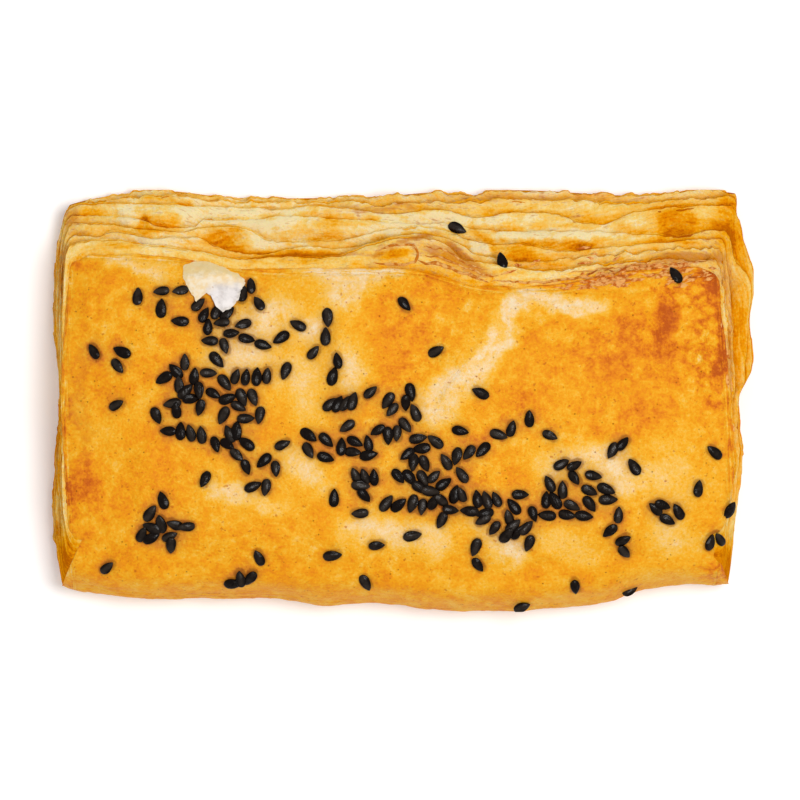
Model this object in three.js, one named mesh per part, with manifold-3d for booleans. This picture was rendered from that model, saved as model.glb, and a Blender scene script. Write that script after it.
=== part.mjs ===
// An oblong meat pie of puff pastry, 128 mm wide. The sheet is folded over its filling along the front,
// so the front is one round roll, and the other three sides show the cut edges of the dough, which the
// oven has spread into leaves. At the back they fan out into a broad slope of ledges. Black sesame
// lies over the glazed crust, and one pale flake has come loose near the back.
// Millimetres, +X to the right, +Y to the back, +Z up, the origin under the middle of the base.
import * as THREE from "three";
import { mergeVertices } from "three/addons/utils/BufferGeometryUtils.js";
import Module from "manifold-3d";

const wasm = await Module();
wasm.setup();
const { lerp, clamp, smoothstep, degToRad } = THREE.MathUtils;

// ---- the crust: a glazed rectangle, its height over the filling and how far it falls to each side
const HALF_WIDTH = 60;
const HALF_DEPTH = 34;
const CROWN = 26.5;
const FALL = { left: 5.0, right: 4.6, back: 3.2, front: 2.6 };
const FALL_POWER = 5;

// Each edge is a smooth curve through points: for left and right the numbers are y, x, y, x and so on, and
// for front and back x, y, x, y. The rim is where the glazed crust ends, and the foot is how far the
// pastry below it reaches.
const RIM = {
  left: through(-34, -60.6, 0, -61.9, 27, -60.8),
  right: through(-34, 57.8, -15, 60, 0, 59.4, 27, 57.6),
  front: through(-60, -27.5, -20, -28.4, 18, -30, 42, -27.2, 60, -26.6),
  back: through(-60, 27, -42, 26, -28, 23.8, 2, 23.6, 15, 20.6, 30, 20.9, 44, 23.4, 58, 24.6),
};
const FOOT = {
  left: through(-32, -62.8, -20, -64.1, 0, -62.7, 12, -63.9, 22, -63.6, 30, -62.5, 37, -61.4),
  right: through(-32, 59.8, -26, 60.2, -12, 61.9, -2, 61.2, 3, 63.4, 11, 63, 18, 63.8, 28, 61.4, 37, 61.6),
  front: through(
    -60, -34.6, -44, -36.2, -24, -36, -14, -37.3, -5, -36.9, 4, -37.7, 17, -38.5, 36, -37.2,
    45, -34.4, 60, -34,
  ),
  back: through(-60, 36.6, -42, 38.2, -30, 37, -4, 37.2, 6, 38, 12, 37.4, 20, 38.4, 42, 37.4, 52, 38.5),
};
// How far each corner is drawn in, both ways; it makes the corner round.
const CORNERS = {
  rim: { backLeft: 1.8, backRight: 1.6, frontLeft: 2.4, frontRight: 2.4 },
  foot: { backLeft: 0.9, backRight: 0.7, frontLeft: 0.8, frontRight: 0.6 },
};
const CORNER_POWER = 14;

// Each wall from rim to foot, against the share of the way gone: out is the share of the reach outward,
// and down the share of the height lost.
const WALL = {
  left: { out: through(0, 0.1, 0.5, 0.6, 0.8, 1, 1, 0.9), down: through(0, 0, 1, 1) },
  right: {
    out: through(0, 0.08, 0.45, 0.35, 0.62, 1, 1, 0.92),
    down: through(0, 0, 0.5, 0.5, 0.62, 0.58, 1, 1),
  },
  back: {
    out: through(0, 0.02, 0.3, 0.22, 0.5, 0.5, 0.68, 0.8, 1, 1),
    down: through(0, 0, 0.3, 0.27, 0.5, 0.42, 0.68, 0.5, 0.85, 0.74, 1, 1),
  },
  front: {
    out: through(0, 0, 0.3, 0.62, 0.6, 0.95, 0.75, 1, 1, 0.72),
    down: through(0, 0, 0.3, 0.12, 0.6, 0.4, 0.75, 0.6, 1, 1),
  },
};
// How far along a side, in half depths, its wall starts to turn into the back's or the front's.
const BACK_FROM = 0.8;
const FRONT_FROM = 0.72;

// ---- the leaves: shelves that run round the three cut sides
const LEAVES = 7; // one more than there are creases
const LEAF_WANDER = 0.4; // how far a leaf strays towards its neighbours, in leaves
const LEAF_LIP = 0.6; // the share of a leaf's height that its edge takes; a groove takes the rest
const LEAF_DROOP = 0.35; // how far a leaf hangs at its edge
const MOST_DROOP = 0.3; // no more than this share of its height
const LEAF_FRAY = 0.5; // how far its edge strays in and out
const FRAY_PITCH = 1.6; // frays follow each other this much closer than the wander does
const LEAF_PHASE = { wander: 1.7, fray: 2.9 }; // sets each leaf's waves apart from the next leaf's
const GROOVE = 0.9;
// The creases below the leaves of the back slope, from the rim outward: x, y, x, y and so on.
const CREASES = [
  through(
    -62, 28.7, -52, 29, -46, 28, -37, 27, -29.5, 25.7, -22.5, 26, -11, 26.2, -4.2, 28.4, 0, 29.4, 6.8, 29.2,
    9.5, 28, 12, 25.8, 17, 25, 21.4, 24.3, 28, 23.5, 36, 24.5, 51, 25.5, 58, 25.4,
  ),
  through(
    -62, 30.5, -57.3, 29.9, -53, 30.6, -46, 29.5, -37, 29.4, -31.7, 27.2, -26, 26.6, -18.8, 27.8, -9.7, 27.7,
    -4, 29.1, 3, 30.4, 7, 30, 10.5, 29, 14.1, 26.8, 18, 26, 25, 25.2, 36, 26.2, 51, 27.5, 58, 27.6,
  ),
  through(
    -62, 32.2, -55, 32.2, -50, 31.5, -41, 30.6, -36, 31.5, -29, 31.4, -24, 29.2, -18.8, 28.8, -9.7, 29.4,
    -1, 31.3, 6.8, 31.4, 12.3, 29.5, 15, 28.9, 18, 28.3, 22, 28.5, 28.7, 27.4, 31.5, 27, 40, 27.9, 58, 29.6,
  ),
  through(
    -60, 33.8, -50, 33.4, -44, 31.6, -38, 31.8, -36, 33.2, -26, 33, -22.5, 33.6, -9.7, 33, 0, 32.3,
    8.6, 32.3, 14, 31.3, 19.6, 30.9, 36, 30.8, 47, 30.1, 51.6, 29.9, 58, 31,
  ),
  through(
    -61, 35.7, -48, 35.8, -30, 35.2, -22.5, 34.8, -15, 35.4, -8, 34.7, -2, 34, 7, 34.8, 13.5, 33.4,
    21.4, 34.3, 28.7, 33.8, 33, 32.5, 38, 32.3, 43.4, 34.4, 54.4, 35.5, 58, 35.6,
  ),
  through(
    -60, 36.2, -50, 37, -40, 37.1, -30, 36, -15, 36.4, -3, 35.6, 6, 36.6, 12, 36, 20, 37, 40, 36,
    58, 37.1,
  ),
];
const CREASED_FROM = 0.5; // how far along a side its leaves start to turn to the creases, in half depths
const LEAST_LEAF = 0.015; // the least share of the wall that a leaf takes
const LOWEST_LEAF = 0.12; // the share of it that the lowest leaf takes at the back, at least
const HALVINGS = 12; // how often the search for a crease halves its range

// ---- relief of the crust: [x, y, half length, half breadth, height] of each puff and hollow
const PUFFS = [
  [-38, 8, 16, 12, 0.8], [-8, 16, 9, 6, 1.3], [3, 26, 9, 5, 1.5], [22, 3, 14, 10, 0.9], [47, -4, 9, 16, 0.8],
  [-20, -16, 15, 9, 0.7], [14, -23, 12, 7, 0.6], [-52, -16, 6, 10, -0.7], [48, 14, 4, 7, -0.9],
  [15, 17, 3, 6, 0.6], [10, 5, 3, 7, 0.5], [-26, 20, 7, 3, -0.7], [-47, 31, 6, 3, 2.2],
  [-34, 31, 6, 3, 2.0], [46, 30, 5, 3, -1.6],
];

// ---- the mesh: cells across and along the crust, and columns of the wall on each side
const CELLS_X = 24;
const CELLS_Y = 14;
const CRUST_SHARE = 0.955; // how far to the rim the cells go; one strip spans the rest
const COLUMNS = { front: 24, right: 18, back: 48, left: 18 };
const WELD = 1e-4; // points closer than this are one

// ---- sesame: a flat teardrop, and how it was scattered
const SEED = { length: 3.25, width: 1.8, thickness: 1.1 };
// In half lengths, half widths and half thicknesses: the tip first, then round anticlockwise.
const SEED_OUTLINE = [[1, 0, 0], [0.05, 0.96, 0], [-0.92, 0.6, 0], [-0.92, -0.6, 0], [0.05, -0.96, 0]];
const SEED_CREST = [-0.4, 0, 1];
const SEED_ROOT = [0, 0, -1];
const SEED_SUNK = 0.1; // the share of its thickness that the crust takes up
const SEED_PILE = 0.4; // how many thicknesses higher a seed lies that fell on others
const SEED_SPREAD = 0.09; // how much seeds differ in size
const SEED_LEAN = 0.16; // in radians, either way
const SEED_SHIFT = 0.15; // how far a seed lies off its trail, either way
const SEED_TURN = 9; // in degrees, how far it is turned off its heading, either way
const SEED_APART = 1.5; // nearer than this to another, a seed lies on it
const FIRST_DRAW = 90217;
// Each trail of seeds: from x, y and a heading, to x, y and a heading, how many. The heading is the way
// that the pointed end looks, in degrees from +X, and it turns evenly along the trail.
const TRAILS = [
  [-43.9, 19.6, 187, -40.5, 19.9, 197, 2], [-43.8, 16.7, 90, -40.6, 14.4, 176, 2],
  [-37.1, 17.3, 40, -35.4, 13.3, 80, 3], [-33.8, 16, 75, -31.8, 15.6, 45, 2],
  [-32.9, 14.1, 185, -35.2, 10.7, 180, 2], [-31.2, 12.2, 0, -25.3, 9.9, -20, 3],
  [-22.1, 11.4, 213, -19.2, 13.6, 155, 2], [-29, 19.3, 75, -27.6, 20.5, 95, 2],
  [-32.3, 9.8, 285, -33.9, 7.2, 310, 2], [-39.7, 7, 90, -38, 4.3, 92, 2],
  [-41.3, 5.2, 125, -43.3, 3.9, 205, 2], [-35.4, 4.9, 355, -32.4, 3.2, 315, 2],
  [-30.4, 4.2, 66, -24.8, 4.4, 84, 4], [-40.5, 2.9, 100, -38.4, 0.5, 0, 3],
  [-36.9, 1.9, 272, -31.9, 0.4, 385, 3], [-29.1, 0.6, 290, -27.1, 0.4, 295, 2],
  [-32.7, -2.9, 240, -29.8, -1.2, 325, 2], [-28.6, -3.5, 5, -25.9, -2.9, 255, 2],
  [-41.9, -0.5, 182, -41, -1.8, 95, 2], [-44.6, -2.9, 290, -42.8, -5.5, 180, 2],
  [-40.3, -5.7, 92, -36.6, -6.4, 100, 3], [-31.5, -6.1, 110, -30.2, -5.5, 85, 2],
  [-31.9, -8.1, 330, -28.4, -12, 290, 3], [-25.4, -11.1, 225, -23.2, -12.5, 268, 2],
  [-27.1, -15.8, 18, -24.8, -15.9, 262, 2], [-13.7, 15.1, 270, -14, 11.5, 92, 2],
  [-12, 7.3, 107, -12.7, 4.2, 80, 2], [-13.3, -0.7, 45, -9, -0.4, 75, 4],
  [-2.6, -0.2, 230, -2.1, -1.9, 225, 2], [1.4, 1.5, 275, 0.4, -0.6, 268, 2],
  [-17, -6.4, 330, -17, -9.1, 305, 2], [-13.9, -7.4, 317, -14, -10.3, 345, 2],
  [-8.8, -7.6, 335, -9.2, -9.6, 360, 2], [-6.2, -7.8, 97, -6.3, -10.1, 5, 2],
  [-4.5, -5.4, 220, 0.4, -4.7, 315, 2], [-2.9, -6.5, 268, -1.2, -6.2, 265, 2],
  [2.8, -6.9, 10, 6, -7.5, 143, 2], [3.4, -8.7, 183, 0.7, -10, 222, 2],
  [1.8, -11.4, 268, 3.9, -11.4, 295, 2], [-0.9, -13.9, 312, 3.5, -14.2, 300, 3],
  [5.8, -13.8, 45, 7.3, -15.1, 28, 2], [3, -15.7, 325, 5, -16.5, 350, 2],
  [-8.6, -13.7, 115, -5.2, -14, 97, 3], [-7.7, -15.4, 0, -7.2, -17.3, -42, 2],
  [-3.1, -18.7, 45, -0.8, -19.1, 32, 2], [1.8, -18.7, 255, 3.4, -19.5, 268, 2],
  [5.5, -18.5, 60, 7.2, -18.3, -40, 2], [8.8, -19.9, 350, 7.1, -21.7, 250, 2],
  [7.7, -11.2, 120, 10.7, -13.4, 118, 2], [9.8, -10.1, 250, 14.4, -9.1, 222, 3],
  [9.4, -17.2, 65, 10.7, -17.1, 105, 2], [13.5, -18, 100, 16.9, -18.1, 118, 3],
  [12.2, -20.2, 172, 14.8, -20.6, 190, 2], [14.5, -21.8, 205, 16.4, -23.1, 240, 2],
  [20.2, -19.4, 135, 21.4, -17.2, 5, 2], [19.1, -21.3, 112, 20, -22.7, 45, 2],
  [18.7, -24.5, 60, 22.4, -23.2, 50, 3], [23.6, -20.7, 280, 26.2, -21.1, 172, 2],
  [26, -18, 90, 27.5, -18.2, 115, 2], [26.7, -15.3, 115, 29, -16.2, 85, 2],
  [30.8, -19.1, 335, 29.7, -20.7, 350, 2], [28.8, -11.7, 20, 31.2, -11.9, 30, 2],
  [31.1, -14.2, 310, 33.7, -16.5, 330, 2], [34.4, -13.7, 345, 36.8, -16.3, 340, 2],
  [33.9, -18.8, 308, 37.2, -18, 357, 2], [37.9, -9.3, 250, 39.8, -7.8, 42, 2],
  [45.9, -19.7, 140, 47.2, -19, 345, 2], [50, -20.3, 125, 48, -21.6, 330, 2],
  [39.1, -20.9, 90, 37.4, -23.8, 213, 2], [39.9, -25.3, 35, 40.1, -27.5, 318, 2],
  [55.7, -25.8, 75, 57.4, -25.3, 125, 2], [-43.5, -18.1, 117, -45.8, -20.6, 60, 2],
  [-43.8, -22.4, 97, -45.5, -23.2, 150, 2], [-47.5, -24.4, 60, -45.6, -24.9, 25, 2],
  [-41.4, -22.6, 155, -39.2, -22.8, 190, 2], [-42.2, -24.7, 20, -42.2, -26.2, 268, 2],
  [-31, -33.4, 8, -29.7, -32.3, 105, 2], [-27.7, -32.3, 240, -26.1, -28.6, 112, 2],
  [-51.1, 8.6, 155, -51.6, 6.2, 315, 2], [17.4, -6.4, 340, 19.7, -5.1, 75, 2],
  [13.3, -26.7, 245, 13.6, -29.7, 300, 2],
];
// Seeds that lie alone: x, y and heading.
const STRAYS = [
  [-28.9, 13.7, 190], [-26.2, 17.4, 115], [-21.4, 5.2, 250], [-36.8, -1.2, 255], [-34.1, -8, 293],
  [-28.3, -7.9, 138], [-21.8, -8, 28], [-35.9, -14.4, 248], [-16.1, 8.7, 45], [-5.9, 1.4, 35],
  [2.1, -2.3, 115], [-10.1, -4.7, 213], [-11.2, -8.6, 80], [-12.6, -17.8, 78], [-7.8, -20.4, 180],
  [1.7, -24.7, 18], [22.9, -25.8, 250], [33, -20.9, 0], [42.1, -12.1, 130], [56.5, -9.6, 142],
  [53.6, -16, 85], [59.2, -19.8, 70], [-53.7, -30.3, 35], [-56.2, 8.8, 125], [-52, -0.9, 35], [6.2, 9, 20],
  [0.2, 17.3, 310], [9.9, 31.3, 335], [17.9, 25.1, 105], [49.6, 22.7, 115], [14.1, 1.3, 150],
  [10.4, -5.6, 340], [22.8, -3.3, 100], [26.7, -6.5, 345], [-12.8, -28.1, 10], [-6.7, -33.2, 300],
  [-4.9, -26.2, 5], [31.1, -33.9, 280], [41.3, -34.7, 30], [21.5, -37.6, 15], [-48.1, 18.8, 92],
];

// ---- the loose flake: its torn outline, how far it stands off the crust and how far it goes in
const FLAKE = [
  [-39.6, 25.2], [-39.8, 21], [-38.4, 19.2], [-36.8, 16.9],
  [-35, 18.8], [-32, 16.2], [-29.4, 19.2], [-28.6, 21.6],
];
const FLAKE_LIFT = 0.8;
const FLAKE_SUNK = 0.4;

// A smooth curve through the points t, value, t, value and so on, level beyond its ends.
function through(...numbers) {
  const last = numbers.length / 2 - 1;
  const points = Array.from({ length: last + 1 }, (_, n) => [numbers[2 * n], numbers[2 * n + 1]]);
  const slope = (j) => {
    const [t0, v0] = points[Math.max(j - 1, 0)];
    const [t1, v1] = points[Math.min(j + 1, last)];
    return (v1 - v0) / (t1 - t0);
  };
  return (t) => {
    if (t <= points[0][0]) return points[0][1];
    if (t >= points[last][0]) return points[last][1];
    const i = points.findIndex(([x]) => x > t) - 1;
    const [ta, va] = points[i];
    const [tb, vb] = points[i + 1];
    const gap = tb - ta;
    const u = (t - ta) / gap;
    const bend = u * (1 - u) * gap;
    return va + (vb - va) * u * u * (3 - 2 * u) + bend * ((1 - u) * slope(i) - u * slope(i + 1));
  };
}

// The same random draws every time, from 0 to 1.
function drawsFrom(seed) {
  let state = seed;
  return () => (state = (state * 16807) % 2147483647) / 2147483647;
}

// A gentle wave along s millimetres, from -1 to 1, of three lengths that share no common measure.
function wave(s, phase) {
  const long = Math.sin(s / 8.3 + phase);
  const middle = Math.sin(s / 3.1 + phase * 2.4);
  const short = Math.sin(s / 1.9 + phase * 5.1);
  return 0.35 * long + 0.45 * middle + 0.2 * short;
}

// ---- the crust's plan: p and q run from -1 to 1 across the width and the depth
function plan(edges, corners, p, q) {
  const x = p * HALF_WIDTH;
  const y = q * HALF_DEPTH;
  const name = (q > 0 ? "back" : "front") + (p > 0 ? "Right" : "Left");
  const corner = corners[name] * Math.abs(p * q) ** CORNER_POWER;
  return [
    lerp(edges.left(y), edges.right(y), (p + 1) / 2) - Math.sign(p) * corner,
    lerp(edges.front(x), edges.back(x), (q + 1) / 2) - Math.sign(q) * corner,
  ];
}

// The puffs and hollows at x, y, added up.
function puffs(x, y) {
  const bump = ([cx, cy, rx, ry, height]) => {
    const far = Math.hypot((x - cx) / rx, (y - cy) / ry);
    return height * Math.exp(-far * far);
  };
  return PUFFS.reduce((sum, puff) => sum + bump(puff), 0);
}

// The height of the glazed crust at x, y.
function crust(x, y) {
  const [left, right] = [RIM.left(y), RIM.right(y)];
  const [front, back] = [RIM.front(x), RIM.back(x)];
  const p = clamp((2 * x - left - right) / (right - left), -1, 1);
  const q = clamp((2 * y - front - back) / (back - front), -1, 1);
  const sideways = (p < 0 ? FALL.left : FALL.right) * Math.abs(p) ** FALL_POWER;
  const lengthways = (q < 0 ? FALL.front : FALL.back) * Math.abs(q) ** FALL_POWER;
  return CROWN - sideways - lengthways + puffs(x, y);
}

// How far out and how far down the wall has gone at share t of its way, at p, q of the rim.
function wallAt(t, p, q) {
  const side = p < 0 ? WALL.left : WALL.right;
  const back = smoothstep(q, BACK_FROM, 1);
  const front = smoothstep(-q, FRONT_FROM, 1);
  const mixed = (key) => lerp(lerp(side[key](t), WALL.back[key](t), back), WALL.front[key](t), front);
  return { out: mixed("out"), down: mixed("down") };
}

// The share of the back wall's way at which it has gone out by the share given.
function backShare(out) {
  let [start, end] = [0, 1];
  for (let n = 0; n < HALVINGS; n++) {
    const middle = (start + end) / 2;
    if (WALL.back.out(middle) < out) start = middle;
    else end = middle;
  }
  return start;
}

// The shares of the wall's way at which its leaves end: even ones that wander on the sides, and at the
// back those that meet the creases.
function leafShares(p, q, along, loose) {
  const [, rimY] = plan(RIM, CORNERS.rim, p, 1);
  const [footX, footY] = plan(FOOT, CORNERS.foot, p, 1);
  const creased = smoothstep(q, CREASED_FROM, 1);
  const shares = [0];
  CREASES.forEach((crease, n) => {
    const wander = LEAF_WANDER * loose * wave(along, (n + 1) * LEAF_PHASE.wander);
    const lowest = 1 - (LOWEST_LEAF * (n + 1)) / CREASES.length;
    const drawn = Math.min(backShare((crease(footX) - rimY) / (footY - rimY)), lowest);
    shares.push(Math.max(lerp((n + 1 + wander) / LEAVES, drawn, creased), shares[n] + LEAST_LEAF));
  });
  return [...shares, 1];
}

// One column of the wall, along millimetres round it: its points from the rim to the base, leaf by leaf.
// Each leaf is the top and the foot of its edge, and the groove below. Along the front roll they all run
// together, as no leaf shows there.
function wallColumn(p, q, along) {
  const [rimX, rimY] = plan(RIM, CORNERS.rim, p, q);
  const [footX, footY] = plan(FOOT, CORNERS.foot, p, q);
  const reach = Math.hypot(footX - rimX, footY - rimY);
  const top = crust(rimX, rimY);
  const puff = puffs(footX, footY);
  const rolled = smoothstep(-q, FRONT_FROM, 1);
  const loose = 1 - rolled;
  const column = [];
  const put = (out, down) => {
    const swell = puff * Math.sin(Math.PI * clamp(down, 0, 1));
    column.push([lerp(rimX, footX, out), lerp(rimY, footY, out), Math.max(top * (1 - down) + swell, 0)]);
  };
  const shares = leafShares(p, q, along, loose);
  for (let leaf = 0; leaf < LEAVES; leaf++) {
    const lowest = leaf === LEAVES - 1;
    const above = wallAt(shares[leaf], p, q);
    const below = wallAt(shares[leaf + 1], p, q);
    const middle = wallAt((shares[leaf] + shares[leaf + 1]) / 2, p, q);
    const fray = lowest ? 0 : LEAF_FRAY * loose * wave(along * FRAY_PITCH, leaf * LEAF_PHASE.fray);
    const edge = lerp(below.out + fray / reach, middle.out, rolled);
    const droop = Math.min(LEAF_DROOP / top, MOST_DROOP * (below.down - above.down));
    put(edge, lerp(above.down + droop, middle.down, rolled));
    put(edge, lerp(lerp(above.down, below.down, LEAF_LIP), middle.down, rolled));
    const groove = lerp(below.out - GROOVE / reach, middle.out, rolled);
    if (!lowest) put(groove, lerp(below.down, middle.down, rolled));
  }
  put(wallAt(1, p, q).out, 1);
  return column;
}

// A closed surface from points and the triangles between them, as a solid. Points that fall together
// become one, and a triangle that this closes up is left out.
function solidOf(points, triangles) {
  const position = new THREE.Float32BufferAttribute(points.flat(), 3);
  const raw = new THREE.BufferGeometry().setAttribute("position", position).setIndex(triangles);
  const welded = mergeVertices(raw, WELD);
  const kept = [];
  for (let n = 0; n < welded.index.count; n += 3) {
    const corners = [0, 1, 2].map((k) => welded.index.getX(n + k));
    if (new Set(corners).size === 3) kept.push(...corners);
  }
  const vertProperties = welded.attributes.position.array;
  const triVerts = new Uint32Array(kept);
  return new wasm.Manifold(new wasm.Mesh({ numProp: 3, vertProperties, triVerts }));
}

// Points round the square of p and q, anticlockwise from the front left, each with the millimetres to it.
function roundSquare({ front, right, back, left }) {
  const sides = [
    [front, 2 * HALF_WIDTH, (s) => [s, -1]],
    [right, 2 * HALF_DEPTH, (s) => [1, s]],
    [back, 2 * HALF_WIDTH, (s) => [-s, 1]],
    [left, 2 * HALF_DEPTH, (s) => [-1, -s]],
  ];
  const spots = [];
  let start = 0;
  for (const [count, length, at] of sides) {
    for (let n = 0; n < count; n++) {
      const share = n / count;
      spots.push({ along: start + length * share, at: at(2 * share - 1) });
    }
    start += length;
  }
  return spots;
}

// Triangles between two rings round the same square: the ring that is behind goes next.
function stitch(inner, outer, triangles) {
  const after = (ring, n) => (n + 1 < ring.length ? ring[n + 1].along : Infinity);
  const id = (ring, n) => ring[n % ring.length].id;
  let [a, b] = [0, 0];
  while (a < inner.length || b < outer.length) {
    const outerNext = b < outer.length && (a === inner.length || after(outer, b) <= after(inner, a));
    const here = [id(inner, a), id(outer, b)];
    if (outerNext) b++;
    else a++;
    triangles.push(...here, outerNext ? id(outer, b) : id(inner, a));
  }
}

// The bare pastry: the crust is a grid, the wall a strip of columns round it, the base flat.
function pastry() {
  const points = [];
  const triangles = [];
  const quad = (a, b, c, d) => triangles.push(a, b, c, a, c, d);
  const cell = (i, j) => j * (CELLS_X + 1) + i;
  for (let j = 0; j <= CELLS_Y; j++)
    for (let i = 0; i <= CELLS_X; i++) {
      const [p, q] = [(2 * i) / CELLS_X - 1, (2 * j) / CELLS_Y - 1];
      const [x, y] = plan(RIM, CORNERS.rim, p * CRUST_SHARE, q * CRUST_SHARE);
      points.push([x, y, crust(x, y)]);
    }
  for (let j = 0; j < CELLS_Y; j++)
    for (let i = 0; i < CELLS_X; i++) quad(cell(i, j), cell(i + 1, j), cell(i + 1, j + 1), cell(i, j + 1));

  const border = roundSquare({ front: CELLS_X, right: CELLS_Y, back: CELLS_X, left: CELLS_Y });
  for (const spot of border) {
    const [p, q] = spot.at;
    spot.id = cell(Math.round(((p + 1) / 2) * CELLS_X), Math.round(((q + 1) / 2) * CELLS_Y));
  }
  const rim = roundSquare(COLUMNS);
  const columns = rim.map((spot) => {
    const [x, y] = plan(RIM, CORNERS.rim, ...spot.at);
    spot.id = points.length;
    points.push([x, y, crust(x, y)], ...wallColumn(...spot.at, spot.along));
    return { start: spot.id, rows: points.length - spot.id };
  });
  stitch(border, rim, triangles);
  columns.forEach(({ start, rows }, n) => {
    const next = columns[(n + 1) % columns.length].start;
    for (let r = 0; r < rows - 1; r++) quad(start + r, start + r + 1, next + r + 1, next + r);
  });
  const feet = columns.map(({ start, rows }) => start + rows - 1);
  const outline = feet.map((n) => new THREE.Vector2(points[n][0], points[n][1]));
  const base = THREE.ShapeUtils.triangulateShape(outline, []);
  for (const [a, b, c] of base) triangles.push(feet[a], feet[c], feet[b]);
  return solidOf(points, triangles);
}

// A solid as three.js geometry.
function geometryOf(solid) {
  const { vertProperties, triVerts } = solid.getMesh();
  return new THREE.BufferGeometry()
    .setAttribute("position", new THREE.Float32BufferAttribute(vertProperties, 3))
    .setIndex(new THREE.BufferAttribute(triVerts, 1));
}

// Where each seed fell: x, y, its heading, its size, its lean and whether it lies on another.
function scatter() {
  const draw = drawsFrom(FIRST_DRAW);
  const eitherWay = (most) => most * (2 * draw() - 1);
  const seeds = [];
  const add = (nearX, nearY, degrees) => {
    const x = nearX + eitherWay(SEED_SHIFT);
    const y = nearY + eitherWay(SEED_SHIFT);
    const heading = degToRad(degrees + eitherWay(SEED_TURN));
    const piled = seeds.some((seed) => Math.hypot(seed.x - x, seed.y - y) < SEED_APART);
    seeds.push({ x, y, heading, piled, size: 1 + eitherWay(SEED_SPREAD), lean: eitherWay(SEED_LEAN) });
  };
  for (const [x0, y0, turn0, x1, y1, turn1, count] of TRAILS)
    for (let n = 0; n < count; n++) {
      const t = n / (count - 1);
      add(lerp(x0, x1, t), lerp(y0, y1, t), lerp(turn0, turn1, t));
    }
  for (const stray of STRAYS) add(...stray);
  return seeds;
}

// One seed, lying along X: a flat teardrop outline, with a crest above it and a root below, in the crust.
function seedSolid(size) {
  const half = [SEED.length, SEED.width, SEED.thickness].map((whole) => (whole * size) / 2);
  const sized = (point) => point.map((share, k) => share * half[k]);
  const points = [...SEED_OUTLINE, SEED_CREST, SEED_ROOT].map(sized);
  const sides = SEED_OUTLINE.length;
  const [crest, root] = [sides, sides + 1];
  const triangles = SEED_OUTLINE.flatMap((_, n) => {
    const next = (n + 1) % sides;
    return [n, next, crest, n, root, next];
  });
  return solidOf(points, triangles);
}

// The seeds, each dropped straight down on the pastry and turned to lie along it.
function sesame(body) {
  const surface = new THREE.Mesh(geometryOf(body));
  const up = new THREE.Vector3(0, 0, 1);
  const down = new THREE.Vector3(0, 0, -1);
  const unscaled = new THREE.Vector3(1, 1, 1);
  return scatter().map(({ x, y, heading, lean, size, piled }) => {
    const ray = new THREE.Raycaster(new THREE.Vector3(x, y, 2 * CROWN), down);
    const [hit] = ray.intersectObject(surface);
    if (!hit) throw new Error(`no pastry under the seed at ${x}, ${y}`);
    const lift = SEED.thickness * (0.5 - SEED_SUNK + (piled ? SEED_PILE : 0));
    const turn = new THREE.Quaternion().setFromUnitVectors(up, hit.face.normal);
    turn.multiply(new THREE.Quaternion().setFromEuler(new THREE.Euler(0, lean, heading, "ZYX")));
    const middle = hit.point.addScaledVector(hit.face.normal, lift);
    const place = new THREE.Matrix4().compose(middle, turn, unscaled);
    return seedSolid(size).transform(place.toArray());
  });
}

// The loose flake: a leaf with its upper face off the crust and its lower face just inside it.
function flake() {
  const outline = FLAKE.map(([x, y]) => new THREE.Vector2(x, y));
  const face = (height) => FLAKE.map(([x, y]) => [x, y, crust(x, y) + height]);
  const points = [...face(FLAKE_LIFT), ...face(-FLAKE_SUNK)];
  const count = outline.length;
  const triangles = [];
  for (const [a, b, c] of THREE.ShapeUtils.triangulateShape(outline, [])) {
    triangles.push(a, b, c);
    triangles.push(a + count, c + count, b + count);
  }
  for (let n = 0; n < count; n++) {
    const m = (n + 1) % count;
    triangles.push(n, n + count, m + count, n, m + count, m);
  }
  return solidOf(points, triangles);
}

// Everything joined; of what the union leaves, the pie is the largest piece.
function meatPie() {
  const body = pastry();
  const whole = wasm.Manifold.union([body, ...sesame(body), flake()]);
  return whole.decompose().sort((a, b) => b.volume() - a.volume())[0];
}

const pie = new THREE.Group();
const baked = new THREE.MeshStandardMaterial({ color: 0xe8a23c, roughness: 0.55, metalness: 0 });
const mesh = new THREE.Mesh(geometryOf(meatPie()), baked);
mesh.name = "meat_pie";
pie.add(mesh);

export default pie;
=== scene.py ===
# %% [markdown]
# # A meat pie of puff pastry, seen from above
# Puff pastry is hundreds of sheets of dough with butter between them. Here one sheet was folded over the
# filling, so the front is a smooth roll, and the oven spread the cut edges of the other three sides into
# leaves. The solid in the frame has the whole form. This lesson dresses it: the glazed crust, the leaves,
# the sole it stands on, the sesame, and the scraps that came loose.

# %% Load the solid that everything is fitted to
import itertools
import math

import bpy
import numpy as np
from mathutils import Euler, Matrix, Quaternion, Vector
from mathutils.bvhtree import BVHTree


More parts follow.
